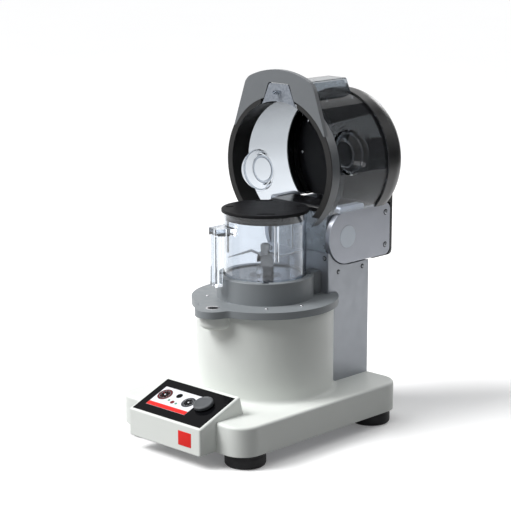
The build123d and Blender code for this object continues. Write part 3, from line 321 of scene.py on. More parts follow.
@dataclass(frozen=True)
class ShadedClear(Clear):
    """Clear plastic of the drum, with painted shade darkening it towards its top and a painted dark
    reflection in its raised channel.
    """

    # Painted light: the colour of the channel's painted dark reflection, and the share of the tint kept at
    # the top as painted shade
    painted_channel_reflection: Colour = (0.40, 0.43, 0.46)
    painted_top_shade: float = 0.50
    axis_mm: float = 451.0
    climb_mm: Pair = (-60.0, 105.0)
    drum_mm: float = 118.5
    drum_fade_mm: Pair = (-0.8, 1.5)
    visor_mm: float = 36.0
    visor_fade_mm: Pair = (-2.0, 2.0)

    def tone(self, shader: Shader) -> Socket:
        """The tint, with painted shade towards the top, and a painted dark reflection outside the drum's
        radius and behind the visor.

        Args:
            shader: the material under construction.

        Returns:
            The colour socket.
        """
        place = shader.node("ShaderNodeSeparateXYZ")
        shader.join(shader.place, place.inputs[0])
        away = shader.node("ShaderNodeVectorMath", operation="LENGTH")
        shader.join(shader.stretched((1.0, 0.0, 1.0), (0.0, 0.0, -self.axis_mm * MM)), away.inputs[0])
        climb, outside, behind = (
            shader.ramp(value, (centre + fade[0]) * MM, (centre + fade[1]) * MM) for value, centre, fade in (
                (place.outputs["Z"], self.axis_mm, self.climb_mm),
                (away.outputs["Value"], self.drum_mm, self.drum_fade_mm),
                (place.outputs["Y"], self.visor_mm, self.visor_fade_mm)))
        # Painted shade: the tint darkens towards the top of the drum
        shaded_top = shader.mix(climb, super().tone(shader), shade(self.tint, self.painted_top_shade))
        # Painted dark reflection: the channel, outside the drum's radius and behind the visor, takes a dark
        # colour
        channel_reflection_mask = shader.node("ShaderNodeMath", operation="MULTIPLY")
        shader.join(outside, channel_reflection_mask.inputs[0])
        shader.join(behind, channel_reflection_mask.inputs[1])
        return shader.mix(channel_reflection_mask.outputs["Value"], shaded_top, self.painted_channel_reflection)


@dataclass(frozen=True)
class Frosted:
    """Frosted plastic with a pebbled face and fine specks."""

    name: str
    colour: Colour
    speck: Colour
    roughness: float = 0.35
    speck_mm: float = 3.4
    pebble_mm: float = 4.0

    def build(self) -> bpy.types.Material:
        """Make the material.

        Returns:
            The material.
        """
        shader = Shader(self.name)
        shader.set(Roughness=self.roughness, Specular_IOR_Level=0.35)
        specks = shader.between(shader.noise(self.speck_mm, 3.0), 0.0, 1.0)
        shader.join(shader.mix(specks, self.colour, self.speck), shader.surface.inputs["Base Color"])
        shader.bump(shader.noise(self.pebble_mm, 2.0), 0.9, 0.6)
        return shader.material


@dataclass(frozen=True)
class Brushed:
    """Bare metal with fine lines along one axis, or rings about the drive axis."""

    name: str
    colour: Colour
    roughness: float
    along: Point = (1.0, 40.0, 40.0)
    line_mm: float = 12.0

    def build(self) -> bpy.types.Material:
        """Make the material.

        Returns:
            The material.
        """
        shader = Shader(self.name)
        shader.set(Metallic=1.0)
        lines = shader.noise(self.line_mm, 3.0, shader.stretched(self.along))
        tone = shader.mix(lines, shade(self.colour, 0.86), shade(self.colour, 1.12))
        shader.join(tone, shader.surface.inputs["Base Color"])
        shader.join(shader.between(lines, self.roughness - 0.08, self.roughness + 0.1),
                    shader.surface.inputs["Roughness"])
        shader.bump(lines, 0.15, 0.02, 0.3)
        return shader.material


Finish = Moulded | Clear | Frosted | Brushed

WHITE = Moulded("white_moulding", (0.76, 0.785, 0.755), 0.42, mottle=0.02, grain_mm=0.8, grain=0.10,
                gloss=0.35)
SEAT_GREY = Moulded("seat_casting", (0.222, 0.240, 0.253), 0.45, mottle=0.05, grain_mm=0.9, grain=0.28,
                    gloss=0.35)
SHEET_GREY = Moulded("column_paint", (0.375, 0.395, 0.43), 0.38, grain_mm=0.6, grain=0.2, metallic=0.45)
CHEEK_GREY = Moulded("cheek_casting", (0.43, 0.45, 0.50), 0.4, mottle=0.03, grain_mm=0.6, grain=0.25,
                     metallic=0.5)
HINGE_GREY = Moulded("hinge_casting", (0.27, 0.29, 0.31), 0.30, mottle=0.06, grain=0.3, metallic=0.65)
CAP_GREY = Moulded("pin_cap", (0.68, 0.74, 0.81), 0.45, grain_mm=0.5, metallic=0.25)
GLOSS_BLACK = Moulded("black_gloss", (0.008, 0.008, 0.009), 0.16, spread=0.05, grain=0.05, gloss=0.45)
INNER_BLACK = Moulded("inner_black", (0.006, 0.006, 0.007), 0.35, spread=0.05, grain=0.1, gloss=0.12)
BACK_BLACK = Moulded("rear_casting", (0.009, 0.009, 0.010), 0.36, spread=0.02, mottle=0.02, grain_mm=0.5,
                     grain=0.06)
VISOR_GREY = Moulded("visor_grey", (0.132, 0.143, 0.154), 0.36, mottle=0.03, grain_mm=1.0, grain=0.06)
SEAL_BLACK = Moulded("seal_rubber", (0.009, 0.009, 0.009), 0.5, grain_mm=1.2, grain=0.3, gloss=0.25)
FOOT_BLACK = Moulded("foot_rubber", (0.008, 0.008, 0.009), 0.5, grain_mm=1.5, grain=0.4, gloss=0.2)
LID_BLACK = Moulded("black_plastic", (0.006, 0.006, 0.007), 0.5, spread=0.02, grain_mm=0.8, grain=0.05,
                    gloss=0.08)
KNOB_GREY = Moulded("knob_grey", (0.066, 0.072, 0.079), 0.42, grain_mm=0.5, grain=0.1)
TILE_RED = Moulded("tile_red", (0.76, 0.024, 0.020), 0.4, grain_mm=0.8, grain=0.05, gloss=0.15)
PANEL_BLACK = Moulded("panel_glass", (0.004, 0.004, 0.005), 0.14, spread=0.04, grain=0.02, gloss=0.04)
SCREEN_WHITE = Moulded("display_white", (0.78, 0.79, 0.83), 0.3, grain=0.02, mottle=0.01, gloss=0.2,
                       edge_mm=0.0)
BOARD_GREEN = Moulded("board_green", (0.01, 0.09, 0.035), 0.4)
IRON = Moulded("motor_iron", (0.09, 0.09, 0.095), 0.5, metallic=0.7, grain_mm=1.5, grain=0.3)
# The hood's clear plastic, with painted shade at its top and a painted dark reflection in its channel
HOOD_CLEAR = ShadedClear("clear_hood", (0.69, 0.735, 0.785), 0.014, 1.24, gloss=0.4, drift=0.14)
VESSEL_CLEAR = Clear("clear_vessel", (0.74, 0.78, 0.83), 0.012, 1.45, drift=0.04)
BLADE_STEEL = Brushed("blade_steel", (0.25, 0.248, 0.245), 0.16)
TURNED_STEEL = Brushed("turned_steel", (0.23, 0.23, 0.235), 0.20, (40.0, 40.0, 1.0))
SCREW_STEEL = Brushed("screw_steel", (0.66, 0.66, 0.68), 0.2)
PLATE_STEEL = Brushed("plate_screw_steel", (0.34, 0.355, 0.38), 0.34)
CUP_RIM = Clear("cup_rim", (0.62, 0.65, 0.69), 0.03, 1.42, 0.6)
FROSTED = Frosted("frosted_window", (0.285, 0.315, 0.36), (0.19, 0.21, 0.245))
GAUGE_RED = Moulded("gauge_red", (0.16, 0.006, 0.010), 0.35, grain=0.02, gloss=0.2, edge_mm=0.0)
GAUGE_GREY = Moulded("gauge_grey", (0.055, 0.06, 0.07), 0.35, grain=0.02, gloss=0.2, edge_mm=0.0)
LAMP_GREEN = Moulded("lamp_green", (0.05, 0.26, 0.16), 0.35, grain=0.02, gloss=0.2, edge_mm=0.0)

NODE_FINISH = {
    WHITE: "housing console console_floor",
    SEAT_GREY: "vessel_seat",
    SHEET_GREY: "column column_rear_cover column_rear_ledges base_plate motor_bracket power_supply",
    CHEEK_GREY: "cheek_left cheek_right drum_rails",
    HINGE_GREY: "hinge_block",
    CAP_GREY: "pin_caps",
    GLOSS_BLACK: "hinge_block_cap power_switch",
    INNER_BLACK: "inner_plate",
    BACK_BLACK: "back_cap",
    VISOR_GREY: "front_ring",
    SEAL_BLACK: "ring_seal lid_seal shaft_seal",
    FOOT_BLACK: "feet",
    LID_BLACK: "vessel_lid locking_piece coding_strip lock_module power_inlet encoder_body cooling_fan",
    KNOB_GREY: "selector_knob",
    TILE_RED: "front_tile",
    PANEL_BLACK: "touch_panel",
    SCREEN_WHITE: "display_module",
    BOARD_GREEN: "control_board",
    IRON: "motor_can motor_stator motor_armature",
    HOOD_CLEAR: "hood_drum",
    VESSEL_CLEAR: "vessel",
    BLADE_STEEL: "lower_blades upper_blades knife_spacer knife_nut",
    TURNED_STEEL: "knife_shaft knife_housing hinge_pins drive_coupling drive_shaft bearings "
                  "encoder_spindle",
    SCREW_STEEL: "lock_ring foot_screws seat_screws column_screws cheek_screws inner_plate_screws",
}


class Palette:
    """Every finish of the mill, each built once."""

    def __init__(self) -> None:
        """Start with no material built."""
        self.built: dict[str, bpy.types.Material] = {}

    def get(self, finish: Finish) -> bpy.types.Material:
        """A finish's material, built on first use.

        Args:
            finish: the finish.

        Returns:
            The material.
        """
        if finish.name not in self.built:
            self.built[finish.name] = finish.build()
        return self.built[finish.name]

    def dress_nodes(self) -> None:
        """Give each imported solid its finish."""
        for finish, names in NODE_FINISH.items():
            for name in names.split():
                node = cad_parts[name]
                node.data.materials.clear()
                node.data.materials.append(self.get(finish))
                log.info("finish %s on %s", finish.name, name)


# Modelling


UPRIGHT = Matrix.Rotation(radians(90.0), 4, "X")


class Body(Enum):
    """The bodies of the mill that the pieces ride on."""

    STAND = "stand"
    HOOD = "hood"
    KNOB = "knob"


def place_at(point: Point, axis: Point, roll: float = 0.0) -> Matrix:
    """A placing that lays local +Z along an axis.

    Args:
        point: the origin's place in millimetres.
        axis: the direction of local +Z.
        roll: a turn about local Z in degrees.

    Returns:
        The matrix, in millimetres.
    """
    turn = Vector((0.0, 0.0, 1.0)).rotation_difference(Vector(axis).normalized()).to_matrix().to_4x4()
    return Matrix.Translation(Vector(point)) @ turn @ Matrix.Rotation(radians(roll), 4, "Z")


class Form:
    """A mesh under construction, in millimetres, shaped with bmesh operators."""

    def __init__(self) -> None:
        """Start with nothing in the mesh."""
        self.bm = bmesh.new()

    def _moved(self, verts: Sequence[bmesh.types.BMVert], place: Matrix | None) -> None:
        """Lay new vertices at a placing.

        Args:
            verts: the vertices.
            place: where local axes lie, or None to leave them.
        """
        if place is not None:
            bmesh.ops.transform(self.bm, matrix=place, verts=list(verts))

    def _spin(self, profile: Sequence[Pair], steps: int) -> set[bmesh.types.BMVert]:
        """Turn a profile fully about local Z.

        Args:
            profile: pairs of radius and height.
            steps: the number of steps of the spin.

        Returns:
            The vertices that were there before.
        """
        before = set(self.bm.verts)
        verts = [self.bm.verts.new((radius, 0.0, height)) for radius, height in profile]
        edges = [self.bm.edges.new(pair) for pair in zip(verts, verts[1:])]
        bmesh.ops.spin(self.bm, geom=verts + edges, axis=(0.0, 0.0, 1.0), cent=(0.0, 0.0, 0.0),
                       angle=radians(360.0), steps=steps, use_merge=True)
        return before

    def lathe(self, profile: Sequence[Pair], place: Matrix | None = None, steps: int = 96) -> "Form":
        """Add a turned solid.

        Args:
            profile: pairs of radius and height, closed on itself or at radius 0.
            place: where local axes lie.
            steps: the number of steps of the spin.

        Returns:
            The form itself.
        """
        before = self._spin(profile, steps)
        made = [vert for vert in self.bm.verts if vert not in before]
        bmesh.ops.remove_doubles(self.bm, verts=made, dist=WELD)
        self._moved([vert for vert in self.bm.verts if vert not in before], place)
        return self

    def slab(self, width: float, length: float, thickness: float, corner: float = 0.0,
             place: Matrix | None = None, edge: float = 0.0) -> "Form":
        """Add a flat slab with rounded corners, centred in plan, from local z 0 upwards.

        Args:
            width: size along local X.
            length: size along local Y.
            thickness: size along local Z.
            corner: radius of the corners in plan.
            place: where local axes lie.
            edge: width of a rounded upper edge.

        Returns:
            The form itself.
        """
        made = bmesh.ops.create_grid(self.bm, x_segments=1, y_segments=1, size=0.5)["verts"]
        bmesh.ops.scale(self.bm, vec=(width, length, 1.0), verts=made)
        face = made[0].link_faces[0]
        if corner > 0.0:
            rounded = bmesh.ops.bevel(self.bm, geom=made, affect="VERTICES", offset=corner,
                                      offset_type="OFFSET", segments=8, profile=0.5, material=-1)
            face = rounded["verts"][0].link_faces[0]
        self._raise(face, thickness, edge, place)
        return self

    def disc(self, radius: float, height: float, place: Matrix | None = None, edge: float = 0.0,
             sides: int = 64) -> "Form":
        """Add a round or many-sided disc from local z 0 upwards.

        Args:
            radius: the disc's radius.
            height: size along local Z.
            place: where local axes lie.
            edge: width of a rounded upper edge.
            sides: the number of sides.

        Returns:
            The form itself.
        """
        made = bmesh.ops.create_circle(self.bm, cap_ends=True, segments=sides, radius=radius)["verts"]
        self._raise(made[0].link_faces[0], height, edge, place)
        return self

    def _raise(self, face: bmesh.types.BMFace, height: float, edge: float, place: Matrix | None) -> None:
        """Extrude a face of its own upwards, round its upper edge and lay it in place.

        Args:
            face: the face.
            height: how far it rises.
            edge: width of the rounded upper edge, or 0 for none.
            place: where local axes lie.
        """
        made = bmesh.ops.extrude_face_region(self.bm, geom=[face])["geom"]
        top = [item for item in made if isinstance(item, bmesh.types.BMVert)]
        bmesh.ops.translate(self.bm, vec=(0.0, 0.0, height), verts=top)
        base = list(face.verts)
        if edge > 0.0:
            rim = [item for item in made if isinstance(item, bmesh.types.BMEdge)]
            made = bmesh.ops.bevel(self.bm, geom=rim, affect="EDGES", offset=edge, offset_type="OFFSET",
                                   segments=4, profile=0.5, material=-1)
            top = made["verts"]
        self._moved({*base, *top}, place)

    def hex_recess_head(self, radius: float, height: float, place: Matrix) -> "Form":
        """Add a round screw head with a six-sided recess for its key.

        Args:
            radius: the head's radius.
            height: the head's height above its seat.
            place: where local axes lie, with local Z out of the surface.

        Returns:
            The form itself.
        """
        socket = radius * RECESS_RADIUS
        floor = height * RECESS_FLOOR
        before = self._spin([(radius, 0.0), (radius, height * 0.65), (radius * 0.93, height * 0.9),
                             (radius * 0.82, height)], 24)
        rim = [edge for edge in self.bm.edges if edge.is_boundary and edge.verts[0] not in before
               and min(vert.co.z for vert in edge.verts) > height * 0.95]
        hexagon = bmesh.ops.create_circle(self.bm, cap_ends=False, segments=6, radius=socket)["verts"]
        bmesh.ops.translate(self.bm, vec=(0.0, 0.0, height), verts=hexagon)
        inner = list({edge for vert in hexagon for edge in vert.link_edges})
        bmesh.ops.bridge_loops(self.bm, edges=rim + inner)
        down = bmesh.ops.extrude_edge_only(self.bm, edges=inner)["geom"]
        low = [item for item in down if isinstance(item, bmesh.types.BMVert)]
        bmesh.ops.translate(self.bm, vec=(0.0, 0.0, floor - height), verts=low)
        loop = [item for item in down if isinstance(item, bmesh.types.BMEdge)]
        bmesh.ops.contextual_create(self.bm, geom=loop)
        self._moved([vert for vert in self.bm.verts if vert not in before], place)
        return self

    def finish(self, name: str, body: Body, material: bpy.types.Material, slot: str,
               replaces: Sequence[str] = ()) -> None:
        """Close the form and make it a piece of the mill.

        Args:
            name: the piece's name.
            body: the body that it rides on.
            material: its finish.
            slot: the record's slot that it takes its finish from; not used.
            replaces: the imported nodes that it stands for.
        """
        bmesh.ops.recalc_face_normals(self.bm, faces=self.bm.faces)
        bmesh.ops.scale(self.bm, vec=(MM, MM, MM), verts=self.bm.verts)
        for face in self.bm.faces:
            face.smooth = True
        for edge in self.bm.edges:
            edge.smooth = edge.calc_face_angle(0.0) < SHARP
        mesh = bpy.data.meshes.new(name)
        self.bm.to_mesh(mesh)
        self.bm.free()
        mesh.materials.append(material)
        piece = bpy.data.objects.new(name, mesh)
        bpy.context.scene.collection.objects.link(piece)
        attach(piece, body.value)
        if replaces:
            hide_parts(*replaces)
        log.info("piece %s on %s: %d faces", name, body.value, len(mesh.polygons))


# Console


@dataclass
class Console:
    """The sloping console: its screen's picture, its knob and its front tile."""

    palette: Palette
    front: float = -242.6
    front_height: float = 69.5
    slope: float = 21.39
    screen_centre: Pair = (-13.75, 47.1)
    screen_size: Pair = (91.5, 50.8)
    screen_thickness: float = 0.45
    screen_sink: float = 0.15
    bar_height: float = 9.3
    bar_margin: float = 0.4
    bar_lift: float = 0.22
    spot_lift: float = 0.30
    spot_height: float = 0.25
    mark_lift: float = 0.54
    mark_height: float = 0.12
    knob_centre: Pair = (47.5, 54.0)
    knob_radius: float = 17.0
    knob_height: float = 8.0
    knob_bore: float = 3.1
    knob_clearance: float = 1.6
    big_dial: Spot = (-44.5, 53.6, 13.6)
    right_dial: Spot = (13.5, 51.2, 12.6)
    small_dial: Spot = (-15.7, 59.6, 5.8)
    stop_lamp: Spot = (-15.4, 41.3, 3.9)
    lamps: tuple[Spot, ...] = ((-25.4, 43.6, 2.3), (-6.2, 40.6, 2.3))
    tile_centre: Pair = (53.5, 46.5)
    tile_size: Point = (30.0, 24.0, 1.5)
    tile_inset: float = 1.2
    tile_corner: float = 0.8
    tile_edge: float = 0.25

    def at(self, x: float, up: float, height: float = 0.0, turn: float = 0.0) -> Matrix:
        """A placing on the console's slope.

        Args:
            x: the place across the console.
            up: the distance up the slope from its front edge.
            height: the height above the glass.
            turn: a turn about the normal in degrees.

        Returns:
            The matrix, in millimetres.
        """
        lean = Matrix.Rotation(radians(self.slope), 4, "X")
        origin = Matrix.Translation((0.0, self.front, self.front_height))
        return origin @ lean @ Matrix.Translation((x, up, height)) @ Matrix.Rotation(radians(turn), 4, "Z")

    def spots(self, name: str, spots: Sequence[Spot], finish: Finish, slot: str, sides: int = 64) -> None:
        """Lay flat round spots on the screen, as one piece.

        Args:
            name: the piece's name.
            spots: x, distance up the slope, and radius of each.
            finish: their finish.
            slot: the record's slot.
            sides: the number of sides.
        """
        form = Form()
        for x, up, radius in spots:
            form.disc(radius, self.spot_height, self.at(x, up, self.spot_lift), 0.0, sides)
        form.finish(name, Body.STAND, self.palette.get(finish), slot)

    def mark(self, form: Form, place: Spot, angle: float, reach: float, size: Pair, height: float) -> None:
        """Add a bar of a gauge's drawing, laid along its radius.

        Args:
            form: the drawing.
            place: x, distance up the slope, and radius of the gauge.
            angle: the bar's angle in degrees.
            reach: its distance from the middle, as a factor of the radius.
            size: its length and width, as factors of the radius.
            height: its height.
        """
        x, up, radius = place
        length, width = size
        form.slab(radius * length, radius * width, height, 0.0,
                  self.at(x, up, self.mark_lift, angle) @ Matrix.Translation((radius * reach, 0.0, 0.0)))

    def dial(self, name: str, place: Spot, ring: Moulded, hand: float) -> None:
        """Lay a round gauge on the screen: its face, its coloured ring, its ticks and its hand.

        Args:
            name: the start of the pieces' names.
            place: x, distance up the slope, and radius.
            ring: the finish of the ring and hand.
            hand: the hand's angle in degrees.
        """
        x, up, radius = place
        inner, outer, thick = radius * 0.80, radius * 0.92, self.mark_height
        self.spots(f"{name}_face", [place], PANEL_BLACK, "panel_glass")
        band = Form().lathe([(inner, 0.0), (inner, thick), (outer, thick), (outer, 0.0)],
                            self.at(x, up, self.mark_lift))
        for step in range(8):
            self.mark(band, place, 45.0 * step + 22.5, 0.52, (0.16, 0.10), thick)
        self.mark(band, place, hand, 0.3, (0.72, 0.09), thick + 0.02)
        band.finish(f"{name}_ring", Body.STAND, self.palette.get(ring), "tile_red")
        ticks = Form()
        for step in range(24):
            self.mark(ticks, place, 15.0 * step, 0.70, (0.10, 0.035), thick)
        ticks.disc(radius * 0.12, 0.2, self.at(x, up, self.mark_lift), 0.04, 24)
        ticks.finish(f"{name}_ticks", Body.STAND, self.palette.get(SCREEN_WHITE), "display_white")

    def build_screen(self) -> None:
        """Lay the lit picture on the glass: a white field, a red bar, gauges and small lamps."""
        x, up = self.screen_centre
        width, length = self.screen_size
        field = Form().slab(width, length, self.screen_thickness, 0.8, self.at(x, up, -self.screen_sink))
        field.finish("screen_field", Body.STAND, self.palette.get(SCREEN_WHITE), "display_white")
        bar_up = up - length / 2 + self.bar_height / 2
        margin = self.bar_margin
        bar = Form().slab(width - margin, self.bar_height - margin, 0.2, 0.6,
                          self.at(x, bar_up, self.bar_lift))
        bar.finish("screen_bar", Body.STAND, self.palette.get(TILE_RED), "tile_red")
        self.dial("left_gauge", self.big_dial, GAUGE_RED, 150.0)
        self.dial("right_gauge", self.right_dial, GAUGE_GREY, 40.0)
        self.spots("screen_button", [self.small_dial], PANEL_BLACK, "panel_glass")
        self.spots("stop_lamp", [self.stop_lamp], GAUGE_RED, "tile_red")
        self.spots("ready_lamps", self.lamps, LAMP_GREEN, "board_green", 32)

    def build_knob(self) -> None:
        """Turn the flat selector knob with its rounded rim and shallow dish."""
        radius, top, low = self.knob_radius, self.knob_height, self.knob_clearance
        profile = [(self.knob_bore, low), (radius - 0.6, low), (radius - 0.1, low + 0.5),
                   (radius, low + 1.0), (radius, top - 1.9), (radius - 0.15, top - 1.1),
                   (radius - 0.6, top - 0.45), (radius - 1.3, top - 0.1), (radius - 2.2, top),
                   (radius - 3.0, top), (radius - 3.5, top - 0.35), (radius - 4.2, top - 0.5),
                   (radius * 0.4, top - 0.55), (0.0, top - 0.55)]
        knob = Form().lathe(profile, self.at(*self.knob_centre))
        knob.finish("selector_cap", Body.KNOB, self.palette.get(KNOB_GREY), "knob_grey", ["selector_knob"])

    def build_tile(self) -> None:
        """Set the red tile with its rounded edge into the front."""
        x, up = self.tile_centre
        width, length, thickness = self.tile_size
        place = Matrix.Translation((x, self.front + self.tile_inset, up)) @ UPRIGHT
        tile = Form().slab(width, length, thickness, self.tile_corner, place, self.tile_edge)
        tile.finish("red_tile", Body.STAND, self.palette.get(TILE_RED), "tile_red", ["front_tile"])

    def build(self) -> None:
        """Build every piece of the console."""
        self.build_screen()
        self.build_knob()
        self.build_tile()


# Base


@dataclass
class Base:
    """The rubber feet under the slab."""

    palette: Palette
    radius: float = 34.0
    height: float = 24.0
    recess: float = 6.6
    recess_depth: float = 10.0
    bore: float = 3.0
    places: tuple[Pair, ...] = ((-113.0, -164.0), (113.0, -164.0), (-113.0, 147.0), (113.0, 147.0))

    def build(self) -> None:
        """Turn the four feet, each with a waist, a soft shoulder and a recess for its screw."""
        radius, height, recess, depth = self.radius, self.height, self.recess, self.recess_depth
        profile = [(recess, depth), (recess, 1.0), (recess + 1.0, 0.0), (radius - 4.2, 0.0),
                   (radius - 2.6, 0.5), (radius - 1.2, 1.9), (radius - 0.2, 3.8), (radius, 5.2),
                   (radius, 16.0), (radius - 0.5, 17.6), (radius - 0.8, 18.4), (radius - 0.8, 19.4),
                   (radius - 0.2, 20.4), (radius, 21.2), (radius, height - 0.8), (radius - 0.8, height),
                   (recess, height), (self.bore, height), (self.bore, depth), (recess, depth)]
        feet = Form()
        for x, y in self.places:
            feet.lathe(profile, Matrix.Translation((x, y, 0.0)), 72)
        feet.finish("rubber_feet", Body.STAND, self.palette.get(FOOT_BLACK), "foot_rubber", ["feet"])


# Hood


@dataclass
class Hood:
    """The trim of the hood: the frosted window of the channel and the steps of the grip cups."""

    palette: Palette
    axis_height: float = 451.0
    ring_face: float = 32.0
    window_low: float = 108.9
    window_top: float = 138.6
    window_low_half: float = 38.4
    window_top_half: float = 21.6
    cup_y: float = 92.0
    cup_tilt: float = 14.5
    cup_floor: float = 98.0
    cup_floor_radius: float = 25.0
    cup_flare: float = 15.0 / 19.0
    step_rise: float = 11.0
    window_thickness: float = 1.6
    window_inset: float = 1.75
    window_corner: float = 4.0

    def front(self) -> Matrix:
        """A placing at the hood's mouth.

        Returns:
            The matrix in millimetres, with local X to the right, Y up and Z to the front.
        """
        return Matrix.Translation((0.0, self.ring_face, self.axis_height)) @ UPRIGHT

    def build_window(self) -> None:
        """Fill the notch of the visor with the frosted end of the drum's channel."""
        form = Form()
        made = bmesh.ops.create_grid(form.bm, x_segments=12, y_segments=8, size=0.5)["verts"]
        for vert in made:
            share = vert.co.y + 0.5
            half = self.window_low_half + (self.window_top_half - self.window_low_half) * share ** 0.8
            x = vert.co.x * 2.0 * half
            low = sqrt(max(self.window_low ** 2 - x ** 2, 0.0))
            vert.co = (x, low + (self.window_top - low) * share, 0.0)
        corners = [vert for vert in made if len(vert.link_faces) == 1 and vert.co.y > self.window_top - 1.0]
        bmesh.ops.bevel(form.bm, geom=corners, affect="VERTICES", offset=self.window_corner,
                        offset_type="OFFSET", segments=6, profile=0.5, material=-1)
        solid = bmesh.ops.extrude_face_region(form.bm, geom=form.bm.faces[:])["geom"]
        top = [item for item in solid if isinstance(item, bmesh.types.BMVert)]
        bmesh.ops.translate(form.bm, vec=(0.0, 0.0, self.window_thickness), verts=top)
        place = self.front() @ Matrix.Translation((0.0, 0.0, -self.window_inset))
        bmesh.ops.transform(form.bm, matrix=place, verts=form.bm.verts)
        form.finish("channel_window", Body.HOOD, self.palette.get(FROSTED), "clear_hood")

    def build_cup_steps(self) -> None:
        """Lay the fine moulded steps on the floor and the cone of the two grip cups."""
        tilt = radians(self.cup_tilt)
        form = Form()
        for side in (-1.0, 1.0):
            axis = (side * cos(tilt), 0.0, side * sin(tilt))
            place = place_at((0.0, self.cup_y, self.axis_height), axis)
            radius = self.cup_floor_radius - 2.4
            low = self.cup_floor + 0.05
            form.lathe([(radius - 2.2, low), (radius - 1.6, low + 0.5), (radius, low + 0.8),
                        (radius + 1.6, low + 0.5), (radius + 2.2, low), (radius - 2.2, low)], place)
            radius = self.cup_floor_radius + self.cup_flare * self.step_rise - 0.1
            low = self.cup_floor + self.step_rise
            form.lathe([(radius - 1.6, low - 2.0), (radius - 1.6, low - 0.6), (radius - 0.7, low + 0.9),
                        (radius + 0.6, low + 1.0), (radius - 1.6, low - 2.0)], place)
        form.finish("cup_steps", Body.HOOD, self.palette.get(CUP_RIM), "clear_hood")

    def build(self) -> None:
        """Build the hood's trim."""
        self.build_window()
        self.build_cup_steps()


# Screws


@dataclass
class Screws:
    """Round screw heads with six-sided recesses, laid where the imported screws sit."""

    palette: Palette
    small: Pair = (2.6, 1.6)
    large: Pair = (3.8, 1.6)
    turn: float = 15.0
    side_wall: float = 66.0
    front_wall: float = 130.0

    def heads(self, name: str, node: str, size: Pair, body: Body, axis: Callable[[Vector], Point],
              finish: Brushed, rim: float = 1.0) -> None:
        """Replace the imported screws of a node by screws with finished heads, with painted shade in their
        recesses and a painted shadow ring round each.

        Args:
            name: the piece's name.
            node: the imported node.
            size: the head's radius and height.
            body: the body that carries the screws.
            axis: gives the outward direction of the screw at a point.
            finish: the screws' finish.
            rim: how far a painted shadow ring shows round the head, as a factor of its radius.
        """
        radius, height = size
        form = Form()
        dark = Form()
        for low, high in islands(node):
            middle = (low + high) / 2
            direction = Vector(axis(middle))
            reach = Vector(tuple(abs(a) * b for a, b in zip(direction, high - low))).length
            seat = middle + direction * (reach / 2 - height)
            place = place_at(tuple(seat), tuple(direction), self.turn)
            form.hex_recess_head(radius, height, place)
            shank = place @ Matrix.Translation((0.0, 0.0, height - reach))
            form.disc(radius * 0.5, reach - height, shank, 0.0, 16)
            # Painted shade: a dark hexagon just above the floor of each recess, and a dark ring round the
            # head as a painted shadow
            depth = place @ Matrix.Translation((0.0, 0.0, height * (RECESS_FLOOR + 0.01)))
            dark.disc(radius * (RECESS_RADIUS - 0.02), 0.1, depth, 0.0, 6)
            if rim > 1.0:
                dark.disc(radius * rim, 0.18, place, 0.05, 32)
        form.finish(name, body, self.palette.get(finish), "screw_steel", [node])
        dark.finish(f"{name}_shadow_rings", body, self.palette.get(SEAL_BLACK), "black_plastic")

    def build(self) -> None:
        """Build the screws of the seat, column, cheeks and inner plate."""
        self.heads("seat_socket_screws", "seat_screws", self.small, Body.STAND, lambda at: (0.0, 0.0, 1.0),
                   SCREW_STEEL)
        self.heads("cheek_socket_screws", "cheek_screws", self.large, Body.HOOD,
                   lambda at: (1.0 if at.x > 0 else -1.0, 0.0, 0.0), PLATE_STEEL, 1.35)
        self.heads("plate_socket_screws", "inner_plate_screws", self.small, Body.HOOD,
                   lambda at: (0.0, -1.0, 0.0), SCREW_STEEL)
        self.heads("column_socket_screws", "column_screws", self.small, Body.STAND, self.column_axis,
                   PLATE_STEEL, 1.6)

    def column_axis(self, at: Vector) -> Point:
        """The outward direction of a screw of the column, by the wall that it is in.

        Args:
            at: the screw's middle in millimetres.

        Returns:
            The direction.
        """
        if abs(at.x) > self.side_wall:
            return (1.0 if at.x > 0 else -1.0, 0.0, 0.0)
        return (0.0, -1.0 if at.y < self.front_wall else 1.0, 0.0)


def islands(node: str) -> list[tuple[Vector, Vector]]:
    """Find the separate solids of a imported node.

    Args:
        node: the node's name.

    Returns:
        The lowest and highest corner of each solid, in millimetres.
    """
    bm = bmesh.new()
    bm.from_mesh(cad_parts[node].data)
    bmesh.ops.remove_doubles(bm, verts=bm.verts, dist=NODE_WELD)
    unseen = set(bm.verts)
    corners = []
    while unseen:
        group, edge = set(), [unseen.pop()]
        while edge:
            vert = edge.pop()
            group.add(vert)
            for link in vert.link_edges:
                other = link.other_vert(vert)
                if other in unseen:
                    unseen.remove(other)
                    edge.append(other)
        points = [vert.co / MM for vert in group]
        low = Vector(tuple(min(point[i] for point in points) for i in range(3)))
        high = Vector(tuple(max(point[i] for point in points) for i in range(3)))
        corners.append((low, high))
    bm.free()
    return corners


# Stage


@dataclass(frozen=True)
class Lamp:
    """A soft square lamp, in metres and watts."""

    name: str
    place: Point
    target: Point
    size: float
    power: float


LAMPS = (
    Lamp("side", (-1.9, -1.9, 1.2), (0.0, 0.0, 0.3), 0.9, 17.0),
    Lamp("rim", (0.9, 2.2, 1.65), (0.0, 0.15, 0.5), 1.2, 20.0),
    Lamp("rear", (-0.7, 2.3, 1.3), (0.0, 0.1, 0.45), 0.6, 7.0),
    Lamp("top", (0.1, -0.6, 2.6), (0.0, 0.0, 0.2), 1.0, 13.0),
)


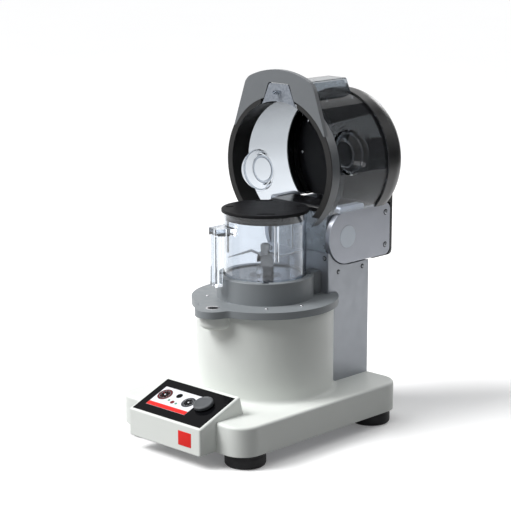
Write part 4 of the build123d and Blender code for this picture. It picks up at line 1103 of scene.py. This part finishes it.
@dataclass
class Studio:
    """Camera, lights, floor and background of a product photograph, in metres."""

    azimuth: float = 44.03
    elevation: float = 12.63
    lens: float = 121.26
    camera_place: Point = (1.9669, -2.0581, 0.9382)
    floor_size: float = 24.0
    floor_tones: Pair = (0.97, 0.99)
    floor_cloud_mm: float = 400.0
    sky: float = 0.15
    sky_colour: Colour = (0.95, 0.97, 1.0)
    sun: float = 3.05
    sun_spread: float = 28.0
    sun_direction: Point = (0.46, 0.71, -0.98)
    lift: float = 0.13
    bounce: float = 0.20
    card_size: Pair = (3.6, 2.7)
    card_place: Point = (1.05, 1.1, 1.45)
    card_facing: Point = (-0.62, -0.78, 0.0)

    def add(self, name: str, data: bpy.types.ID) -> bpy.types.Object:
        """Put an object in the scene.

        Args:
            name: the object's name.
            data: its camera, light or mesh.

        Returns:
            The object.
        """
        made = bpy.data.objects.new(name, data)
        bpy.context.scene.collection.objects.link(made)
        return made

    def place_camera(self) -> None:
        """Make the camera at the photograph's viewpoint."""
        data = bpy.data.cameras.new("camera")
        data.lens = self.lens
        data.clip_end = 50.0
        camera = self.add("camera", data)
        camera.location = self.camera_place
        camera.rotation_euler = (radians(90.0 - self.elevation), 0.0, radians(self.azimuth))
        bpy.context.scene.camera = camera

    def hang(self, lamp: Lamp) -> None:
        """Hang a soft square lamp.

        Args:
            lamp: the lamp.
        """
        data = bpy.data.lights.new(lamp.name, "AREA")
        data.shape = "SQUARE"
        data.size = lamp.size
        data.energy = lamp.power
        made = self.add(lamp.name, data)
        made.visible_camera = False
        made.location = lamp.place
        aim = Vector(lamp.target) - Vector(lamp.place)
        made.rotation_euler = aim.to_track_quat("-Z", "Y").to_euler()

    def add_sun(self) -> None:
        """Add the broad soft key from the front left."""
        data = bpy.data.lights.new("key", "SUN")
        data.energy = self.sun
        data.angle = radians(self.sun_spread)
        self.add("key", data).rotation_euler = Vector(self.sun_direction).to_track_quat("-Z", "Y").to_euler()

    def background_rays(self, tree: bpy.types.NodeTree) -> Socket:
        """A factor that is 1 for rays that should see plain white.

        Args:
            tree: the node tree to add the nodes to.

        Returns:
            The factor socket.
        """
        path = tree.nodes.new("ShaderNodeLightPath")
        factor = path.outputs["Is Camera Ray"]
        for kind in ("Is Glossy Ray", "Is Transmission Ray"):
            either = tree.nodes.new("ShaderNodeMath")
            either.operation = "MAXIMUM"
            tree.links.new(factor, either.inputs[0])
            tree.links.new(path.outputs[kind], either.inputs[1])
            factor = either.outputs[0]
        return factor

    def light_world(self) -> None:
        """A dim even sky for the light, plain white for the eye."""
        world = bpy.data.worlds.new("studio")
        bpy.context.scene.world = world
        world.use_nodes = True
        tree = world.node_tree
        tree.nodes.clear()
        output = tree.nodes.new("ShaderNodeOutputWorld")
        mix = tree.nodes.new("ShaderNodeMixShader")
        tree.links.new(self.background_rays(tree), mix.inputs["Fac"])
        for socket, colour, strength in ((1, self.sky_colour, self.sky), (2, (1.0, 1.0, 1.0), 1.0)):
            background = tree.nodes.new("ShaderNodeBackground")
            background.inputs["Color"].default_value = (*colour, 1.0)
            background.inputs["Strength"].default_value = strength
            tree.links.new(background.outputs[0], mix.inputs[socket])
        tree.links.new(mix.outputs[0], output.inputs["Surface"])

    def sheet(self, name: str, size: Pair, place: Matrix, shader: Shader) -> bpy.types.Object:
        """Lay a flat sheet.

        Args:
            name: its name.
            size: its width and length.
            place: where its axes lie.
            shader: its material.

        Returns:
            The sheet.
        """
        mesh = bpy.data.meshes.new(name)
        bm = bmesh.new()
        bmesh.ops.create_grid(bm, x_segments=1, y_segments=1, size=0.5)
        bmesh.ops.scale(bm, vec=(*size, 1.0), verts=bm.verts)
        bmesh.ops.transform(bm, matrix=place, verts=bm.verts)
        bm.to_mesh(mesh)
        bm.free()
        mesh.materials.append(shader.material)
        return self.add(name, mesh)

    def lay_floor(self) -> None:
        """A wide pale floor that keeps the mill's shadow."""
        shader = Shader("floor")
        shader.set(Roughness=0.95, Specular_IOR_Level=0.0)
        dim, bright = self.floor_tones
        tone = shader.mix(shader.noise(self.floor_cloud_mm, 2.0), (dim,) * 3, (bright,) * 3)
        shown = shader.mix(self.background_rays(shader.tree), (self.bounce,) * 3, tone)
        shader.join(shown, shader.surface.inputs["Base Color"])
        seen = shader.node("ShaderNodeMixShader")
        shader.join(self.background_rays(shader.tree), seen.inputs["Fac"])
        for socket, strength in ((1, 0.0), (2, self.lift)):
            glow = shader.node("ShaderNodeEmission")
            glow.inputs["Strength"].default_value = strength
            shader.join(glow.outputs[0], seen.inputs[socket])
        both = shader.node("ShaderNodeAddShader")
        shader.join(seen.outputs[0], both.inputs[0])
        shader.join(shader.surface.outputs[0], both.inputs[1])
        shader.join(both.outputs[0], shader.output.inputs["Surface"])
        floor = self.sheet("floor", (self.floor_size, self.floor_size), Matrix.Identity(4), shader)

    def stand_card(self) -> None:
        """Stand a dark card at the right, which only reflections show."""
        shader = Shader("dark_card")
        shader.set(Roughness=0.9, Specular_IOR_Level=0.0, Base_Color=(0.03, 0.03, 0.03))
        facing = Vector(self.card_facing).to_track_quat("Z", "Y").to_matrix().to_4x4()
        card = self.sheet("dark_card", self.card_size, Matrix.Translation(self.card_place) @ facing, shader)
        for kind in ("camera", "diffuse", "transmission", "shadow"):
            setattr(card, f"visible_{kind}", False)

    def build(self) -> None:
        """Build the whole stage."""
        self.place_camera()
        self.light_world()
        self.lay_floor()
        self.stand_card()
        self.add_sun()
        for lamp in LAMPS:
            self.hang(lamp)
        bpy.context.scene.view_settings.view_transform = "Standard"
        log.info("stage ready")


def main() -> None:
    """Build the stage, then the mill from the base up."""
    Studio().build()
    palette = Palette()
    palette.dress_nodes()
    for assembly in (Base(palette), Console(palette), Hood(palette), Screws(palette)):
        assembly.build()
        log.info("built %s", type(assembly).__name__)


if __name__ == "__main__":
    main()
